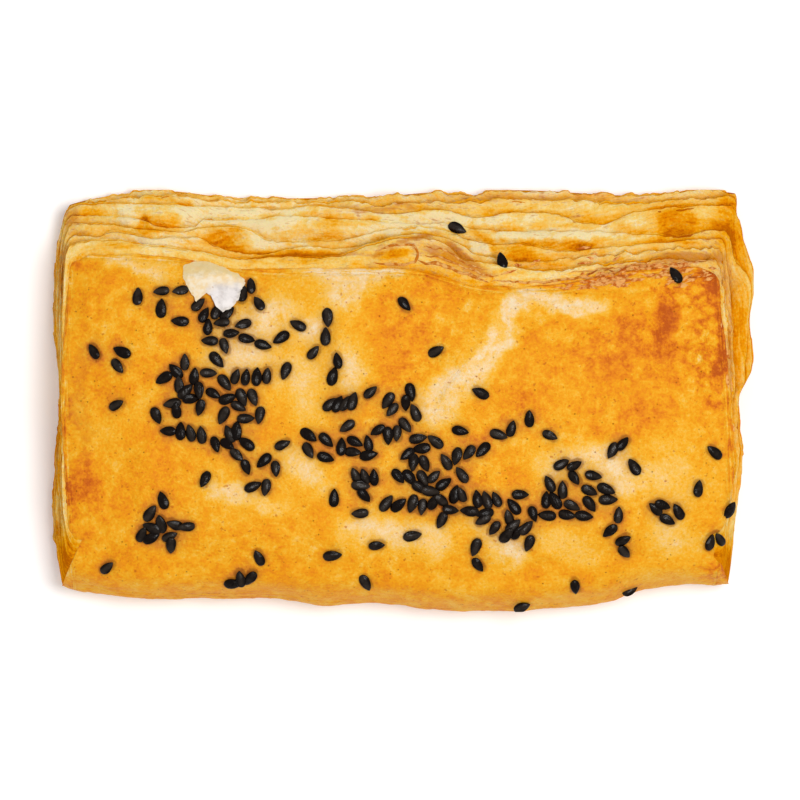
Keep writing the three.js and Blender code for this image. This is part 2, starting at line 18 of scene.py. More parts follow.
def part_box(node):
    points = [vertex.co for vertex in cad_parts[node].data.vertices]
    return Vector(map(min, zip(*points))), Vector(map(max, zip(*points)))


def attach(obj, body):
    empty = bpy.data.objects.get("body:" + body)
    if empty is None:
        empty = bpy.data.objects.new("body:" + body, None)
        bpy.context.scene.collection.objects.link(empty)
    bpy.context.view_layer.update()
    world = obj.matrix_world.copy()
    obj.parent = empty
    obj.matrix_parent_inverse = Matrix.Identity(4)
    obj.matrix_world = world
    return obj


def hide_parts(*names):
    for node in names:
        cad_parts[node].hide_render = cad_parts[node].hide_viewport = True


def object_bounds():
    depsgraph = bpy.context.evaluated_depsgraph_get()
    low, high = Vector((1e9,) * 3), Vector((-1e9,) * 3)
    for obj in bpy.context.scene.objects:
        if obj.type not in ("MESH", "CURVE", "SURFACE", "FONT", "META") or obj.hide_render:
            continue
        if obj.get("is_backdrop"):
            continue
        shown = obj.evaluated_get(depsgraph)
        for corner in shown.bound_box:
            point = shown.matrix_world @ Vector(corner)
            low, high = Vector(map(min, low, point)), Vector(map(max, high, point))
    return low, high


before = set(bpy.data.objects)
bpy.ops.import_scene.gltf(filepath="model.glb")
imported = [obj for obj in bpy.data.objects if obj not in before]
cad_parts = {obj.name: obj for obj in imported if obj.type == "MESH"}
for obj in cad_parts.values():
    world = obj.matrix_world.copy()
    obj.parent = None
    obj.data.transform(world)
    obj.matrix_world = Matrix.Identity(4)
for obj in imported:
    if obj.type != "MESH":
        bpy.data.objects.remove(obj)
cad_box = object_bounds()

MM = 0.001
PIE = "meat_pie"
low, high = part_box(PIE)
print("the solid is", [round(side / MM, 1) for side in high - low], "mm")

# %% [markdown]
# ## The camera and the table
# The camera looks straight down. A short lens would make the crust, which is nearer, hide the sides, so
# this one stands far off with a very long lens, and the foot of the pie shows round its rim. The
# picture is as wide as the photograph's, in which a millimetre of the pie takes five and a half pixels.

# %% The camera
PHOTO_WIDTH = 146.4 * MM
LENS = 800
AIM = Vector((-0.55 * MM, 0, 0))
camera = bpy.data.objects.new("camera", bpy.data.cameras.new("camera"))
camera.data.lens = LENS
distance = PHOTO_WIDTH * LENS / camera.data.sensor_width
camera.location = AIM + Vector((0, 0, distance))
camera.data.clip_end = 4 * distance
bpy.context.scene.collection.objects.link(camera)
bpy.context.scene.camera = camera
print("the camera hangs", round(distance, 2), "m up")

# %% [markdown]
# ## Light
# A round lamp stands nearly overhead, a little to the right, so the shadow is short and soft and falls
# to the left. The rest comes from all round, as in a white tent, and keeps the grooves between the leaves
# from going black. Both were set by the photograph's shadow. `LIGHT` is what they give level ground
# together: a paint looks LIGHT times as bright as its own number.

# %% The lamp, the tent and the table
LAMP_FROM = Vector((0.16, 0.02, 1.0))
LAMP_SIZE = 0.31
LAMP_WATTS = 6.2
TENT = 0.6
LIGHT = 1.2


def lamp(name, place, size, watts):
    light = bpy.data.lights.new(name, "AREA")
    light.shape = "DISK"
    light.size = size
    light.energy = watts
    shown = bpy.data.objects.new(name, light)
    shown.location = place
    shown.rotation_euler = (-place).to_track_quat("-Z", "Y").to_euler()
    shown.visible_camera = False
    bpy.context.scene.collection.objects.link(shown)


lamp("lamp", LAMP_FROM, LAMP_SIZE, LAMP_WATTS)
world = bpy.data.worlds.new("tent")
bpy.context.scene.world = world
world.use_nodes = True
world.node_tree.nodes["Background"].inputs["Color"].default_value = (1, 1, 1, 1)
world.node_tree.nodes["Background"].inputs["Strength"].default_value = TENT
bpy.context.scene.view_settings.view_transform = "Standard"

bpy.ops.mesh.primitive_plane_add(size=6)
table = bpy.context.object
table.name = "table"
table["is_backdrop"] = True
print("a lamp of", LAMP_WATTS, "W and a tent of", TENT)

# %% [markdown]
# ## Numbers that wander
# Baked dough has no straight line and no even colour. `through` draws a smooth curve through a few
# measured points, and `noise` gives hills and hollows of a chosen size that are the same on every run. It
# gives each corner of a lattice a number and blends the corners smoothly, coarse hills first and finer
# ones on top. Blender has noise of its own, but these numbers shape the mesh and also tell its finish
# where it is thick or worn.

# %% Curves and blends


def through(*numbers):
    """A smooth curve through the points t, value, t, value and so on, level beyond its ends."""
    t, value = np.array(numbers[0::2], float), np.array(numbers[1::2], float)
    after = np.minimum(np.arange(len(t)) + 1, len(t) - 1)
    before = np.maximum(np.arange(len(t)) - 1, 0)
    slope = (value[after] - value[before]) / (t[after] - t[before])

    def curve(x):
        x = np.clip(x, t[0], t[-1])
        i = np.clip(np.searchsorted(t, x, side="right") - 1, 0, len(t) - 2)
        gap = t[i + 1] - t[i]
        u = (x - t[i]) / gap
        bend = u * (1 - u) * gap * ((1 - u) * slope[i] - u * slope[i + 1])
        return value[i] + (value[i + 1] - value[i]) * u * u * (3 - 2 * u) + bend

    return curve


def between(a, b, share):
    return a + (b - a) * share


def ease(x, start, end):
    """0 below start, 1 above end, and a smooth rise between."""
    u = np.clip((x - start) / (end - start), 0, 1)
    return u * u * (3 - 2 * u)


print("a curve through 0, 0 and 1, 1 is", round(float(through(0, 0, 1, 1)(0.25)), 2), "at a quarter")

# %% Hills and waves


def lattice(corner, seed):
    """A fixed random number from -1 to 1 for each corner of a lattice."""
    mixed = (corner * np.array([374761393, 668265263, 1103515245])[: corner.shape[-1]]).sum(-1)
    mixed = mixed + seed * 974711
    mixed = (mixed ^ (mixed >> 13)) * 1274126177
    mixed = mixed ^ (mixed >> 16)
    return (mixed & 0xFFFFFF) / 0x7FFFFF - 1


def noise(points, size, seed, octaves=3):
    """Hills about `size` millimetres apart over points, from about -1 to 1."""
    points = np.asarray(points, float)
    total, weight, whole = 0, 1, 0
    for octave in range(octaves):
        at = points / size * 2**octave + 17.3 * seed
        floor = np.floor(at).astype(np.int64)
        part = at - floor
        soft = part**3 * (part * (part * 6 - 15) + 10)
        for corner in itertools.product((0, 1), repeat=points.shape[-1]):
            share = np.prod(np.where(corner, soft, 1 - soft), axis=-1)
            total = total + weight * share * lattice(floor + np.array(corner), seed + octave)
        whole += weight
        weight *= 0.5
    return total / whole * 1.6


def wave(s, phase):
    """The gentle wave that the solid's leaves follow, along s millimetres."""
    waves = [(0.35, 8.3, 1), (0.45, 3.1, 2.4), (0.2, 1.9, 5.1)]  # share, length and pace of each
    return sum(share * np.sin(s / length + phase * pace) for share, length, pace in waves)


print("a hill of noise stands", round(float(noise([[3, 4, 5]], 9, 1)[0]), 2), "high at 3, 4, 5")

# %% [markdown]
# ## Meshes from rows
# Every skin of the pie is made of rows of points, each row as long as the next, with four-sided faces
# between them. Working on whole rows at once keeps a mesh of a hundred thousand faces quick to make, and
# any number that the finish needs, such as how far a point is baked, is stored beside the points.

# %% From rows of points to a piece that rides on the pie
SMOOTH_BELOW = math.radians(48)


def piece(name, points, faces, fields=None):
    """A mesh piece from points in millimetres, faces and {name: a number for each point}.

    What stands out of the solid's box is pressed back to it."""
    mesh = bpy.data.meshes.new(name)
    points = np.clip(np.asarray(points) * MM, low, high)
    mesh.from_pydata(points.tolist(), [], [list(face) for face in faces])
    for title, numbers in (fields or {}).items():
        layer = mesh.attributes.new(title, "FLOAT", "POINT")
        layer.data.foreach_set("value", np.asarray(numbers, np.float32).ravel())
    mesh.shade_smooth()
    mesh.set_sharp_from_angle(angle=SMOOTH_BELOW)
    shown = bpy.data.objects.new(name, mesh)
    bpy.context.scene.collection.objects.link(shown)
    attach(shown, "root")
    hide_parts(PIE)
    triangles = sum(len(face.vertices) - 2 for face in mesh.polygons)
    print(f"{name}: {len(mesh.vertices)} points, {triangles} triangles")
    return shown


def net(rows, columns, closed=False):
    """Faces between rows of points; closed joins the last column to the first."""
    a = np.arange(rows * columns).reshape(rows, columns)
    if closed:
        a = np.concatenate([a, a[:, :1]], axis=1)
    return np.stack([a[:-1, :-1], a[1:, :-1], a[1:, 1:], a[:-1, 1:]], axis=-1).reshape(-1, 4)


def tube(rings, first, last):
    """Points and faces of rings, one after another, that close in a first and a last point."""
    rows, around = rings.shape[:2]
    points = np.concatenate([[first], rings.reshape(-1, 3), [last]])
    faces = (net(rows, around, closed=True) + 1).tolist()
    end = len(points) - 1
    for n in range(around):
        after = (n + 1) % around
        faces += [[0, 1 + n, 1 + after], [end, end - around + after, end - around + n]]
    return points, faces


# %% [markdown]
# ## The plan of the pie
# These curves are the solid's own, so what is built here lies where the frame says. The rim is where the
# glazed crust ends, and the foot is how far the pastry below it reaches. Between them a wall falls:
# steeply on the left, over a ribbon of dough on the right, in broad ledges at the back and round at the
# front. One closed outline would do for each, but four edges let any spot be called so much across and
# so much along, which is what a net of points needs.

# %% Edges of the crust and of the foot, in millimetres
HALF_WIDTH, HALF_DEPTH = 60, 34
CROWN = 26.5
FALL = {"left": 5.0, "right": 4.6, "back": 3.2, "front": 2.6}
FALL_POWER = 5
RIM = {
    "left": through(-34, -60.6, 0, -61.9, 27, -60.8),
    "right": through(-34, 57.8, -15, 60, 0, 59.4, 27, 57.6),
    "front": through(-60, -27.5, -20, -28.4, 18, -30, 42, -27.2, 60, -26.6),
    "back": through(-60, 27, -42, 26, -28, 23.8, 2, 23.6, 15, 20.6, 30, 20.9, 44, 23.4, 58, 24.6),
}
FOOT = {
    "left": through(-32, -62.8, -20, -64.1, 0, -62.7, 12, -63.9, 22, -63.6, 30, -62.5, 37, -61.4),
    "right": through(
        -32, 59.8, -26, 60.2, -12, 61.9, -2, 61.2, 3, 63.4, 11, 63, 18, 63.8, 28, 61.4, 37, 61.6,
    ),
    "front": through(
        -60, -34.6, -44, -36.2, -24, -36, -14, -37.3, -5, -36.9, 4, -37.7, 17, -38.5, 36, -37.2,
        45, -34.4, 60, -34,
    ),
    "back": through(-60, 36.6, -42, 38.2, -30, 37, -4, 37.2, 6, 38, 12, 37.4, 20, 38.4, 42, 37.4, 52, 38.5),
}
# How far the corners are drawn in: back left, back right, front left, front right.
RIM_CORNERS = (1.8, 1.6, 2.4, 2.4)
FOOT_CORNERS = (0.9, 0.7, 0.8, 0.6)
CORNER_POWER = 14
# Hills and hollows of the crust and the walls: middle, half length, half breadth and height.
PUFFS = [
    [-38, 8, 16, 12, 0.8], [-8, 16, 9, 6, 1.3], [3, 26, 9, 5, 1.5], [22, 3, 14, 10, 0.9],
    [47, -4, 9, 16, 0.8], [-20, -16, 15, 9, 0.7], [14, -23, 12, 7, 0.6], [-52, -16, 6, 10, -0.7],
    [48, 14, 4, 7, -0.9], [15, 17, 3, 6, 0.6], [10, 5, 3, 7, 0.5], [-26, 20, 7, 3, -0.7],
    [-47, 31, 6, 3, 2.2], [-34, 31, 6, 3, 2], [46, 30, 5, 3, -1.6],
]


def plan(edges, corners, p, q):
    """Where p across and q along, each from -1 to 1, lie between four edges."""
    x, y = p * HALF_WIDTH, q * HALF_DEPTH
    pull = np.where(q > 0, np.where(p > 0, corners[1], corners[0]), np.where(p > 0, corners[3], corners[2]))
    corner = pull * np.abs(p * q) ** CORNER_POWER
    across = between(edges["left"](y), edges["right"](y), (p + 1) / 2) - np.sign(p) * corner
    along = between(edges["front"](x), edges["back"](x), (q + 1) / 2) - np.sign(q) * corner
    return across, along


def turned(x, y, angle):
    """The same x, y, measured along and across a line at an angle."""
    return x * math.cos(angle) + y * math.sin(angle), y * math.cos(angle) - x * math.sin(angle)


def bumps(x, y, spots):
    """Round hills at x, y. A spot is its middle, half length, half breadth, height and any turn."""
    total = 0
    for middle_x, middle_y, half_x, half_y, height, *turn in spots:
        along, aside = turned(x - middle_x, y - middle_y, math.radians(sum(turn)))
        total = total + height * np.exp(-((along / half_x) ** 2) - (aside / half_y) ** 2)
    return total


def crust_height(x, y):
    left, right, front, back = RIM["left"](y), RIM["right"](y), RIM["front"](x), RIM["back"](x)
    p = np.clip((2 * x - left - right) / (right - left), -1, 1)
    q = np.clip((2 * y - front - back) / (back - front), -1, 1)
    sideways = np.where(p < 0, FALL["left"], FALL["right"]) * np.abs(p) ** FALL_POWER
    lengthways = np.where(q < 0, FALL["front"], FALL["back"]) * np.abs(q) ** FALL_POWER
    return CROWN - sideways - lengthways + bumps(x, y, PUFFS)


print("the crust is", round(float(crust_height(0, 0)), 1), "mm high in the middle")

# %% The fall of each wall, as shares of the reach outward and of the height lost
WALL_OUT = {
    "left": through(0, 0.1, 0.5, 0.6, 0.8, 1, 1, 0.9),
    "right": through(0, 0.08, 0.45, 0.35, 0.62, 1, 1, 0.92),
    "back": through(0, 0.02, 0.3, 0.22, 0.5, 0.5, 0.68, 0.8, 1, 1),
    "front": through(0, 0, 0.3, 0.62, 0.6, 0.95, 0.75, 1, 1, 0.72),
}
WALL_DOWN = {
    "left": through(0, 0, 1, 1),
    "right": through(0, 0, 0.5, 0.5, 0.62, 0.58, 1, 1),
    "back": through(0, 0, 0.3, 0.27, 0.5, 0.42, 0.68, 0.5, 0.85, 0.74, 1, 1),
    "front": through(0, 0, 0.3, 0.12, 0.6, 0.4, 0.75, 0.6, 1, 1),
}
BACK_FROM, FRONT_FROM = 0.8, 0.72  # how far along, of 1, a side wall turns into the back or the front


def wall_at(t, p, q):
    """How far out and how far down the wall has gone at share t of its way."""
    back, front = ease(q, BACK_FROM, 1), ease(-q, FRONT_FROM, 1)
    found = []
    for side in (WALL_OUT, WALL_DOWN):
        beside = np.where(p < 0, side["left"](t), side["right"](t))
        found.append(between(between(beside, side["back"](t), back), side["front"](t), front))
    return found


class Wall:
    """The rim, the foot and the height of the crust, for many columns of the wall at once."""

    def __init__(self, p, q, along):
        self.p, self.q, self.along = p, q, along
        self.rim = np.stack(plan(RIM, RIM_CORNERS, p, q), axis=-1)
        self.foot = np.stack(plan(FOOT, FOOT_CORNERS, p, q), axis=-1)
        self.reach = np.linalg.norm(self.foot - self.rim, axis=-1)
        self.outward = (self.foot - self.rim) / self.reach[:, None]
        self.top = crust_height(*self.rim.T)
        self.puff = bumps(*self.foot.T, PUFFS)
        self.rolled = ease(-q, FRONT_FROM, 1)

    def point(self, out, down):
        """Points at a share outward and a share down."""
        flat = self.rim + (self.foot - self.rim) * out[:, None]
        swell = self.puff * np.sin(np.pi * np.clip(down, 0, 1))
        return np.column_stack([flat, self.top * (1 - down) + swell])


halfway = [round(float(part), 2) for part in wall_at(0.5, 0, 1)]
print("half way down the back, the wall has gone", halfway, "of its way out and down")

# %% [markdown]
# ## The sesame, where it fell
# A pinch of seeds runs off the fingers in a trail, so each row of the table is a short trail: where it
# starts and ends, and how the pointed ends of its seeds turn along the way. The draws that shift and size
# the seeds are the solid's own, so each seed here is over a seed of the frame. A particle system would
# scatter them faster, but none would lie where the real one does. They come before the crust because the
# glaze pools and browns round them.

# %% Where they lie
FIRST_DRAW = 90217
SEED_SPREAD, SEED_LEAN, SEED_SHIFT, SEED_TURN, SEED_APART = 0.09, 0.16, 0.15, 9, 1.5
# Each trail: from x, y and a heading in degrees, to x, y and a heading, how many seeds.
TRAILS = [
    [-43.9, 19.6, 187, -40.5, 19.9, 197, 2], [-43.8, 16.7, 90, -40.6, 14.4, 176, 2],
    [-37.1, 17.3, 40, -35.4, 13.3, 80, 3], [-33.8, 16, 75, -31.8, 15.6, 45, 2],
    [-32.9, 14.1, 185, -35.2, 10.7, 180, 2], [-31.2, 12.2, 0, -25.3, 9.9, -20, 3],
    [-22.1, 11.4, 213, -19.2, 13.6, 155, 2], [-29, 19.3, 75, -27.6, 20.5, 95, 2],
    [-32.3, 9.8, 285, -33.9, 7.2, 310, 2], [-39.7, 7, 90, -38, 4.3, 92, 2],
    [-41.3, 5.2, 125, -43.3, 3.9, 205, 2], [-35.4, 4.9, 355, -32.4, 3.2, 315, 2],
    [-30.4, 4.2, 66, -24.8, 4.4, 84, 4], [-40.5, 2.9, 100, -38.4, 0.5, 0, 3],
    [-36.9, 1.9, 272, -31.9, 0.4, 385, 3], [-29.1, 0.6, 290, -27.1, 0.4, 295, 2],
    [-32.7, -2.9, 240, -29.8, -1.2, 325, 2], [-28.6, -3.5, 5, -25.9, -2.9, 255, 2],
    [-41.9, -0.5, 182, -41, -1.8, 95, 2], [-44.6, -2.9, 290, -42.8, -5.5, 180, 2],
    [-40.3, -5.7, 92, -36.6, -6.4, 100, 3], [-31.5, -6.1, 110, -30.2, -5.5, 85, 2],
    [-31.9, -8.1, 330, -28.4, -12, 290, 3], [-25.4, -11.1, 225, -23.2, -12.5, 268, 2],
    [-27.1, -15.8, 18, -24.8, -15.9, 262, 2], [-13.7, 15.1, 270, -14, 11.5, 92, 2],
    [-12, 7.3, 107, -12.7, 4.2, 80, 2], [-13.3, -0.7, 45, -9, -0.4, 75, 4],
    [-2.6, -0.2, 230, -2.1, -1.9, 225, 2], [1.4, 1.5, 275, 0.4, -0.6, 268, 2],
    [-17, -6.4, 330, -17, -9.1, 305, 2], [-13.9, -7.4, 317, -14, -10.3, 345, 2],
    [-8.8, -7.6, 335, -9.2, -9.6, 360, 2], [-6.2, -7.8, 97, -6.3, -10.1, 5, 2],
    [-4.5, -5.4, 220, 0.4, -4.7, 315, 2], [-2.9, -6.5, 268, -1.2, -6.2, 265, 2],
    [2.8, -6.9, 10, 6, -7.5, 143, 2], [3.4, -8.7, 183, 0.7, -10, 222, 2],
    [1.8, -11.4, 268, 3.9, -11.4, 295, 2], [-0.9, -13.9, 312, 3.5, -14.2, 300, 3],
    [5.8, -13.8, 45, 7.3, -15.1, 28, 2], [3, -15.7, 325, 5, -16.5, 350, 2],
    [-8.6, -13.7, 115, -5.2, -14, 97, 3], [-7.7, -15.4, 0, -7.2, -17.3, -42, 2],
    [-3.1, -18.7, 45, -0.8, -19.1, 32, 2], [1.8, -18.7, 255, 3.4, -19.5, 268, 2],
    [5.5, -18.5, 60, 7.2, -18.3, -40, 2], [8.8, -19.9, 350, 7.1, -21.7, 250, 2],
    [7.7, -11.2, 120, 10.7, -13.4, 118, 2], [9.8, -10.1, 250, 14.4, -9.1, 222, 3],
    [9.4, -17.2, 65, 10.7, -17.1, 105, 2], [13.5, -18, 100, 16.9, -18.1, 118, 3],
    [12.2, -20.2, 172, 14.8, -20.6, 190, 2], [14.5, -21.8, 205, 16.4, -23.1, 240, 2],
    [20.2, -19.4, 135, 21.4, -17.2, 5, 2], [19.1, -21.3, 112, 20, -22.7, 45, 2],
    [18.7, -24.5, 60, 22.4, -23.2, 50, 3], [23.6, -20.7, 280, 26.2, -21.1, 172, 2],
    [26, -18, 90, 27.5, -18.2, 115, 2], [26.7, -15.3, 115, 29, -16.2, 85, 2],
    [30.8, -19.1, 335, 29.7, -20.7, 350, 2], [28.8, -11.7, 20, 31.2, -11.9, 30, 2],
    [31.1, -14.2, 310, 33.7, -16.5, 330, 2], [34.4, -13.7, 345, 36.8, -16.3, 340, 2],
    [33.9, -18.8, 308, 37.2, -18, 357, 2], [37.9, -9.3, 250, 39.8, -7.8, 42, 2],
    [45.9, -19.7, 140, 47.2, -19, 345, 2], [50, -20.3, 125, 48, -21.6, 330, 2],
    [39.1, -20.9, 90, 37.4, -23.8, 213, 2], [39.9, -25.3, 35, 40.1, -27.5, 318, 2],
    [55.7, -25.8, 75, 57.4, -25.3, 125, 2], [-43.5, -18.1, 117, -45.8, -20.6, 60, 2],
    [-43.8, -22.4, 97, -45.5, -23.2, 150, 2], [-47.5, -24.4, 60, -45.6, -24.9, 25, 2],
    [-41.4, -22.6, 155, -39.2, -22.8, 190, 2], [-42.2, -24.7, 20, -42.2, -26.2, 268, 2],
    [-31, -33.4, 8, -29.7, -32.3, 105, 2], [-27.7, -32.3, 240, -26.1, -28.6, 112, 2],
    [-51.1, 8.6, 155, -51.6, 6.2, 315, 2], [17.4, -6.4, 340, 19.7, -5.1, 75, 2],
    [13.3, -26.7, 245, 13.6, -29.7, 300, 2],
]
# Seeds that lie alone: x, y and heading.
STRAYS = [
    [-28.9, 13.7, 190], [-26.2, 17.4, 115], [-21.4, 5.2, 250], [-36.8, -1.2, 255], [-34.1, -8, 293],
    [-28.3, -7.9, 138], [-21.8, -8, 28], [-35.9, -14.4, 248], [-16.1, 8.7, 45], [-5.9, 1.4, 35],
    [2.1, -2.3, 115], [-10.1, -4.7, 213], [-11.2, -8.6, 80], [-12.6, -17.8, 78], [-7.8, -20.4, 180],
    [1.7, -24.7, 18], [22.9, -25.8, 250], [33, -20.9, 0], [42.1, -12.1, 130], [56.5, -9.6, 142],
    [53.6, -16, 85], [59.2, -19.8, 70], [-53.7, -30.3, 35], [-56.2, 8.8, 125], [-52, -0.9, 35],
    [6.2, 9, 20], [0.2, 17.3, 310], [9.9, 31.3, 335], [17.9, 25.1, 105], [49.6, 22.7, 115],
    [14.1, 1.3, 150], [10.4, -5.6, 340], [22.8, -3.3, 100], [26.7, -6.5, 345], [-12.8, -28.1, 10],
    [-6.7, -33.2, 300], [-4.9, -26.2, 5], [31.1, -33.9, 280], [41.3, -34.7, 30], [21.5, -37.6, 15],
    [-48.1, 18.8, 92],
]
print(len(TRAILS), "trails and", len(STRAYS), "seeds that lie alone")

# %% Deal the seeds


def draws_from(state):
    """The same random draws every time, from 0 to 1."""
    while True:
        state = state * 16807 % 2147483647
        yield state / 2147483647


def deal_seeds():
    draw = draws_from(FIRST_DRAW)
    seeds = []

    def either_way(most):
        return most * (2 * next(draw) - 1)

    def add(near_x, near_y, degrees):
        x, y = near_x + either_way(SEED_SHIFT), near_y + either_way(SEED_SHIFT)
        heading = math.radians(degrees + either_way(SEED_TURN))
        piled = any(math.hypot(seed["x"] - x, seed["y"] - y) < SEED_APART for seed in seeds)
        seeds.append({"x": x, "y": y, "heading": heading, "piled": piled})
        seeds[-1].update(size=1 + either_way(SEED_SPREAD), lean=either_way(SEED_LEAN))

    for x0, y0, turn0, x1, y1, turn1, count in TRAILS:
        for t in np.linspace(0, 1, count):
            add(between(x0, x1, t), between(y0, y1, t), between(turn0, turn1, t))
    for stray in STRAYS:
        add(*stray)
    return seeds


seeds = deal_seeds()
print(len(seeds), "seeds,", sum(seed["piled"] for seed in seeds), "of them on top of others")

# %% [markdown]
# ## The crust
# The glazed skin is one net of points: over the top from the back rim to the front, then on round the
# front roll to the foot. It is raised and lowered along its own face by hills of three sizes, by the
# crease that runs forward from the back rim, and by small blisters where fat boiled out. It could be
# sculpted, but sums can be measured against the real pie and changed one at a time. Its edge turns under,
# as a sheet a millimetre thick does, and the net is closed inside the pie.

# %% The net of the crust
ACROSS, OVER, ROUND = 344, 196, 48
INSIDE = np.array([0, -6, 12.0])
# The crease that runs forward from the back rim, from x, y to x, y.
CREASE = np.array([[17.2, 21.2], [16.4, 15.5], [14, 9.5], [10.5, 4.5], [7.6, 1.0]])
# Cracks in the front roll: share of the way round, middle, half length and depth.
CRACKS = [
    [0.5, -50, 12, 0.22], [0.58, -46, 16, 0.22], [0.66, -34, 17, 0.2], [0.55, -18, 6, 0.14],
    [0.62, -4, 9, 0.18], [0.74, 6, 14, 0.16], [0.58, 26, 8, 0.1], [0.7, 46, 8, 0.2], [0.6, 55, 4, 0.2],
]


def near_line(x, y, line):
    """How far each x, y is from a bent line, and on which side, left of its way being positive."""
    best = np.full(np.shape(x), 1e9)
    side = np.zeros(np.shape(x))
    for (ax, ay), (bx, by) in zip(line[:-1], line[1:]):
        dx, dy = bx - ax, by - ay
        t = np.clip(((x - ax) * dx + (y - ay) * dy) / (dx * dx + dy * dy), 0, 1)
        away = np.hypot(x - ax - t * dx, y - ay - t * dy)
        nearer = away < best
        best = np.where(nearer, away, best)
        side = np.where(nearer, np.sign(dx * (y - ay) - dy * (x - ax)), side)
    return best, side


def crust_net():
    p = np.linspace(-1, 1, ACROSS)
    q = np.linspace(1, -1, OVER)
    pp, qq = np.meshgrid(p, q)
    x, y = plan(RIM, RIM_CORNERS, pp, qq)
    top = np.stack([x, y, crust_height(x, y)], axis=-1)
    wall = Wall(p, -np.ones(ACROSS), (p + 1) * HALF_WIDTH)
    around = []
    for t in np.linspace(0, 1, ROUND + 1)[1:]:
        out, down = wall_at(np.full(ACROSS, t), wall.p, wall.q)
        around.append(wall.point(out, down))
    rows = np.concatenate([top, np.array(around)])
    along_roll = np.concatenate([np.zeros(OVER), np.linspace(0, 1, ROUND + 1)[1:]])
    return rows, along_roll


def normals_of(rows):
    """The way out at each point of a net."""
    down, right = np.gradient(rows, axis=0), np.gradient(rows, axis=1)
    out = np.cross(down, right)
    return out / np.linalg.norm(out, axis=-1, keepdims=True)


rows, along_roll = crust_net()
out = normals_of(rows)
print("the net of the crust is", rows.shape[0], "by", rows.shape[1], "points")

# %% Its relief
HILLS = [(9, 0.3), (3.2, 0.12), (1.1, 0.06)]  # how far apart and how high, in millimetres
CREASE_HEIGHT, CREASE_LEFT, CREASE_RIGHT = 0.35, 2.6, 0.7  # gentle on its left, steep on its right
CRACK_WIDTH = 0.016  # as a share of the way round
# Small blisters, and where the skin shrank in wrinkles: middle, half length, half breadth and height.
BLISTERS = [
    [-46, 21, 1.6, 1, 0.3], [-30, -12, 1.2, 1.2, 0.25], [36, 2, 1.5, 1.1, 0.25],
    [52, 8, 1.3, 1.8, 0.35], [54, 1, 1.4, 1.2, 0.35], [50.5, 17, 1.2, 1.5, 0.3],
    [-5, 10, 2.2, 1.4, 0.25], [26, -28, 2, 1, 0.25], [-46, -28, 1.6, 1.2, 0.25],
    [44, -27, 1.8, 1.2, 0.3], [-57, 16, 1, 2, 0.3], [9, -31, 2.4, 1, 0.25], [53.5, 11, 2.2, 2.4, 0.4],
    [47.2, 15.5, 2.4, 5.2, -0.45], [35.3, 13.2, 0.9, 0.22, -0.5], [56.5, -30.5, 1.4, 1, 0.45],
]
WRINKLED = [
    [55, 8, 5, 10, 0.35], [50, 20, 6, 3, 0.3], [57, -31, 4, 4, 0.3], [-61, -20, 2, 16, 0.2],
    [30, 0, 14, 10, 0.1],
]


def crust_relief(points, along_roll):
    x, y = points[..., 0], points[..., 1]
    away, side = near_line(x, y, CREASE)
    crease = CREASE_HEIGHT * np.exp(-((away / np.where(side > 0, CREASE_LEFT, CREASE_RIGHT)) ** 2))
    hills = sum(height * noise(points, size, seed) for seed, (size, height) in enumerate(HILLS, start=1))
    near_rim = ease(y - RIM["back"](x), -5, -0.5)
    rough_back = 0.24 * near_rim * noise(points * [0.3, 1.5, 1], 1.2, 4)
    wrinkles = bumps(x, y, WRINKLED) * noise(points, 1.7, 5)
    relief = hills + crease + rough_back + wrinkles + bumps(x, y, BLISTERS)
    for level, middle, half, depth in CRACKS:
        run = ease(half - np.abs(x - middle), 0, 5)
        line = level + 0.03 * noise(np.stack([x, 0 * x], axis=-1), 9, 6)
        relief = relief - depth * run * np.exp(-(((along_roll - line) / CRACK_WIDTH) ** 2))
    return relief


roll = np.broadcast_to(along_roll[:, None], rows.shape[:2])
relief = crust_relief(rows, roll)
settled = 1 - ease(roll, 0.9, 1)
rows = rows + out * (relief * settled)[..., None]
rows[..., 2] = np.maximum(rows[..., 2], 0)
print("relief from", round(float(relief.min()), 2), "to", round(float(relief.max()), 2), "mm")

# %% Its edge, turned under and closed inside
EDGE_WAYS = [(0.22, -0.35), (0.1, -0.75), (-0.9, -1.0), (-5.0, -1.4)]  # out, up: in millimetres


def loop_of(rows, columns):
    """The numbers of a net's border points, in order."""
    a = np.arange(rows * columns).reshape(rows, columns)
    return np.concatenate([a[0, :-1], a[:-1, -1], a[-1, :0:-1], a[:0:-1, 0]])


def closed_net(rows, ways, inside):
    """A net whose border turns under by the ways given, and closes at a point inside."""
    border = loop_of(*rows.shape[:2])
    flat = rows.reshape(-1, 3)
    edge = flat[border]
    outward = edge[:, :2] - inside[:2]
    outward = outward / np.linalg.norm(outward, axis=1, keepdims=True)
    rings = [edge]
    for away, up in ways:
        rings.append(np.column_stack([edge[:, :2] + outward * away, np.maximum(edge[:, 2] + up, 0)]))
    count = len(border)
    points = np.concatenate([flat, *rings[1:], inside[None]])
    faces = net(*rows.shape[:2]).tolist()
    ring_ids = [border] + [np.arange(count) + len(flat) + n * count for n in range(len(ways))]
    for upper, lower in zip(ring_ids[:-1], ring_ids[1:]):
        after = np.roll(np.arange(count), -1)
        faces += np.stack([upper, upper[after], lower[after], lower], axis=-1).tolist()
    last, middle = ring_ids[-1], len(points) - 1
    faces += [[last[n], last[(n + 1) % count], middle] for n in range(count)]
    return points, faces, (len(ways), border)


def spread(field, extra):
    """A field of the net, carried on over the points that close it."""
    ways, border = extra
    flat = field.ravel()
    return np.concatenate([flat, *[flat[border]] * ways, [flat.mean()]])


points, faces, extra = closed_net(rows, EDGE_WAYS, INSIDE)
print(len(points), "points in the crust with its edge turned under")

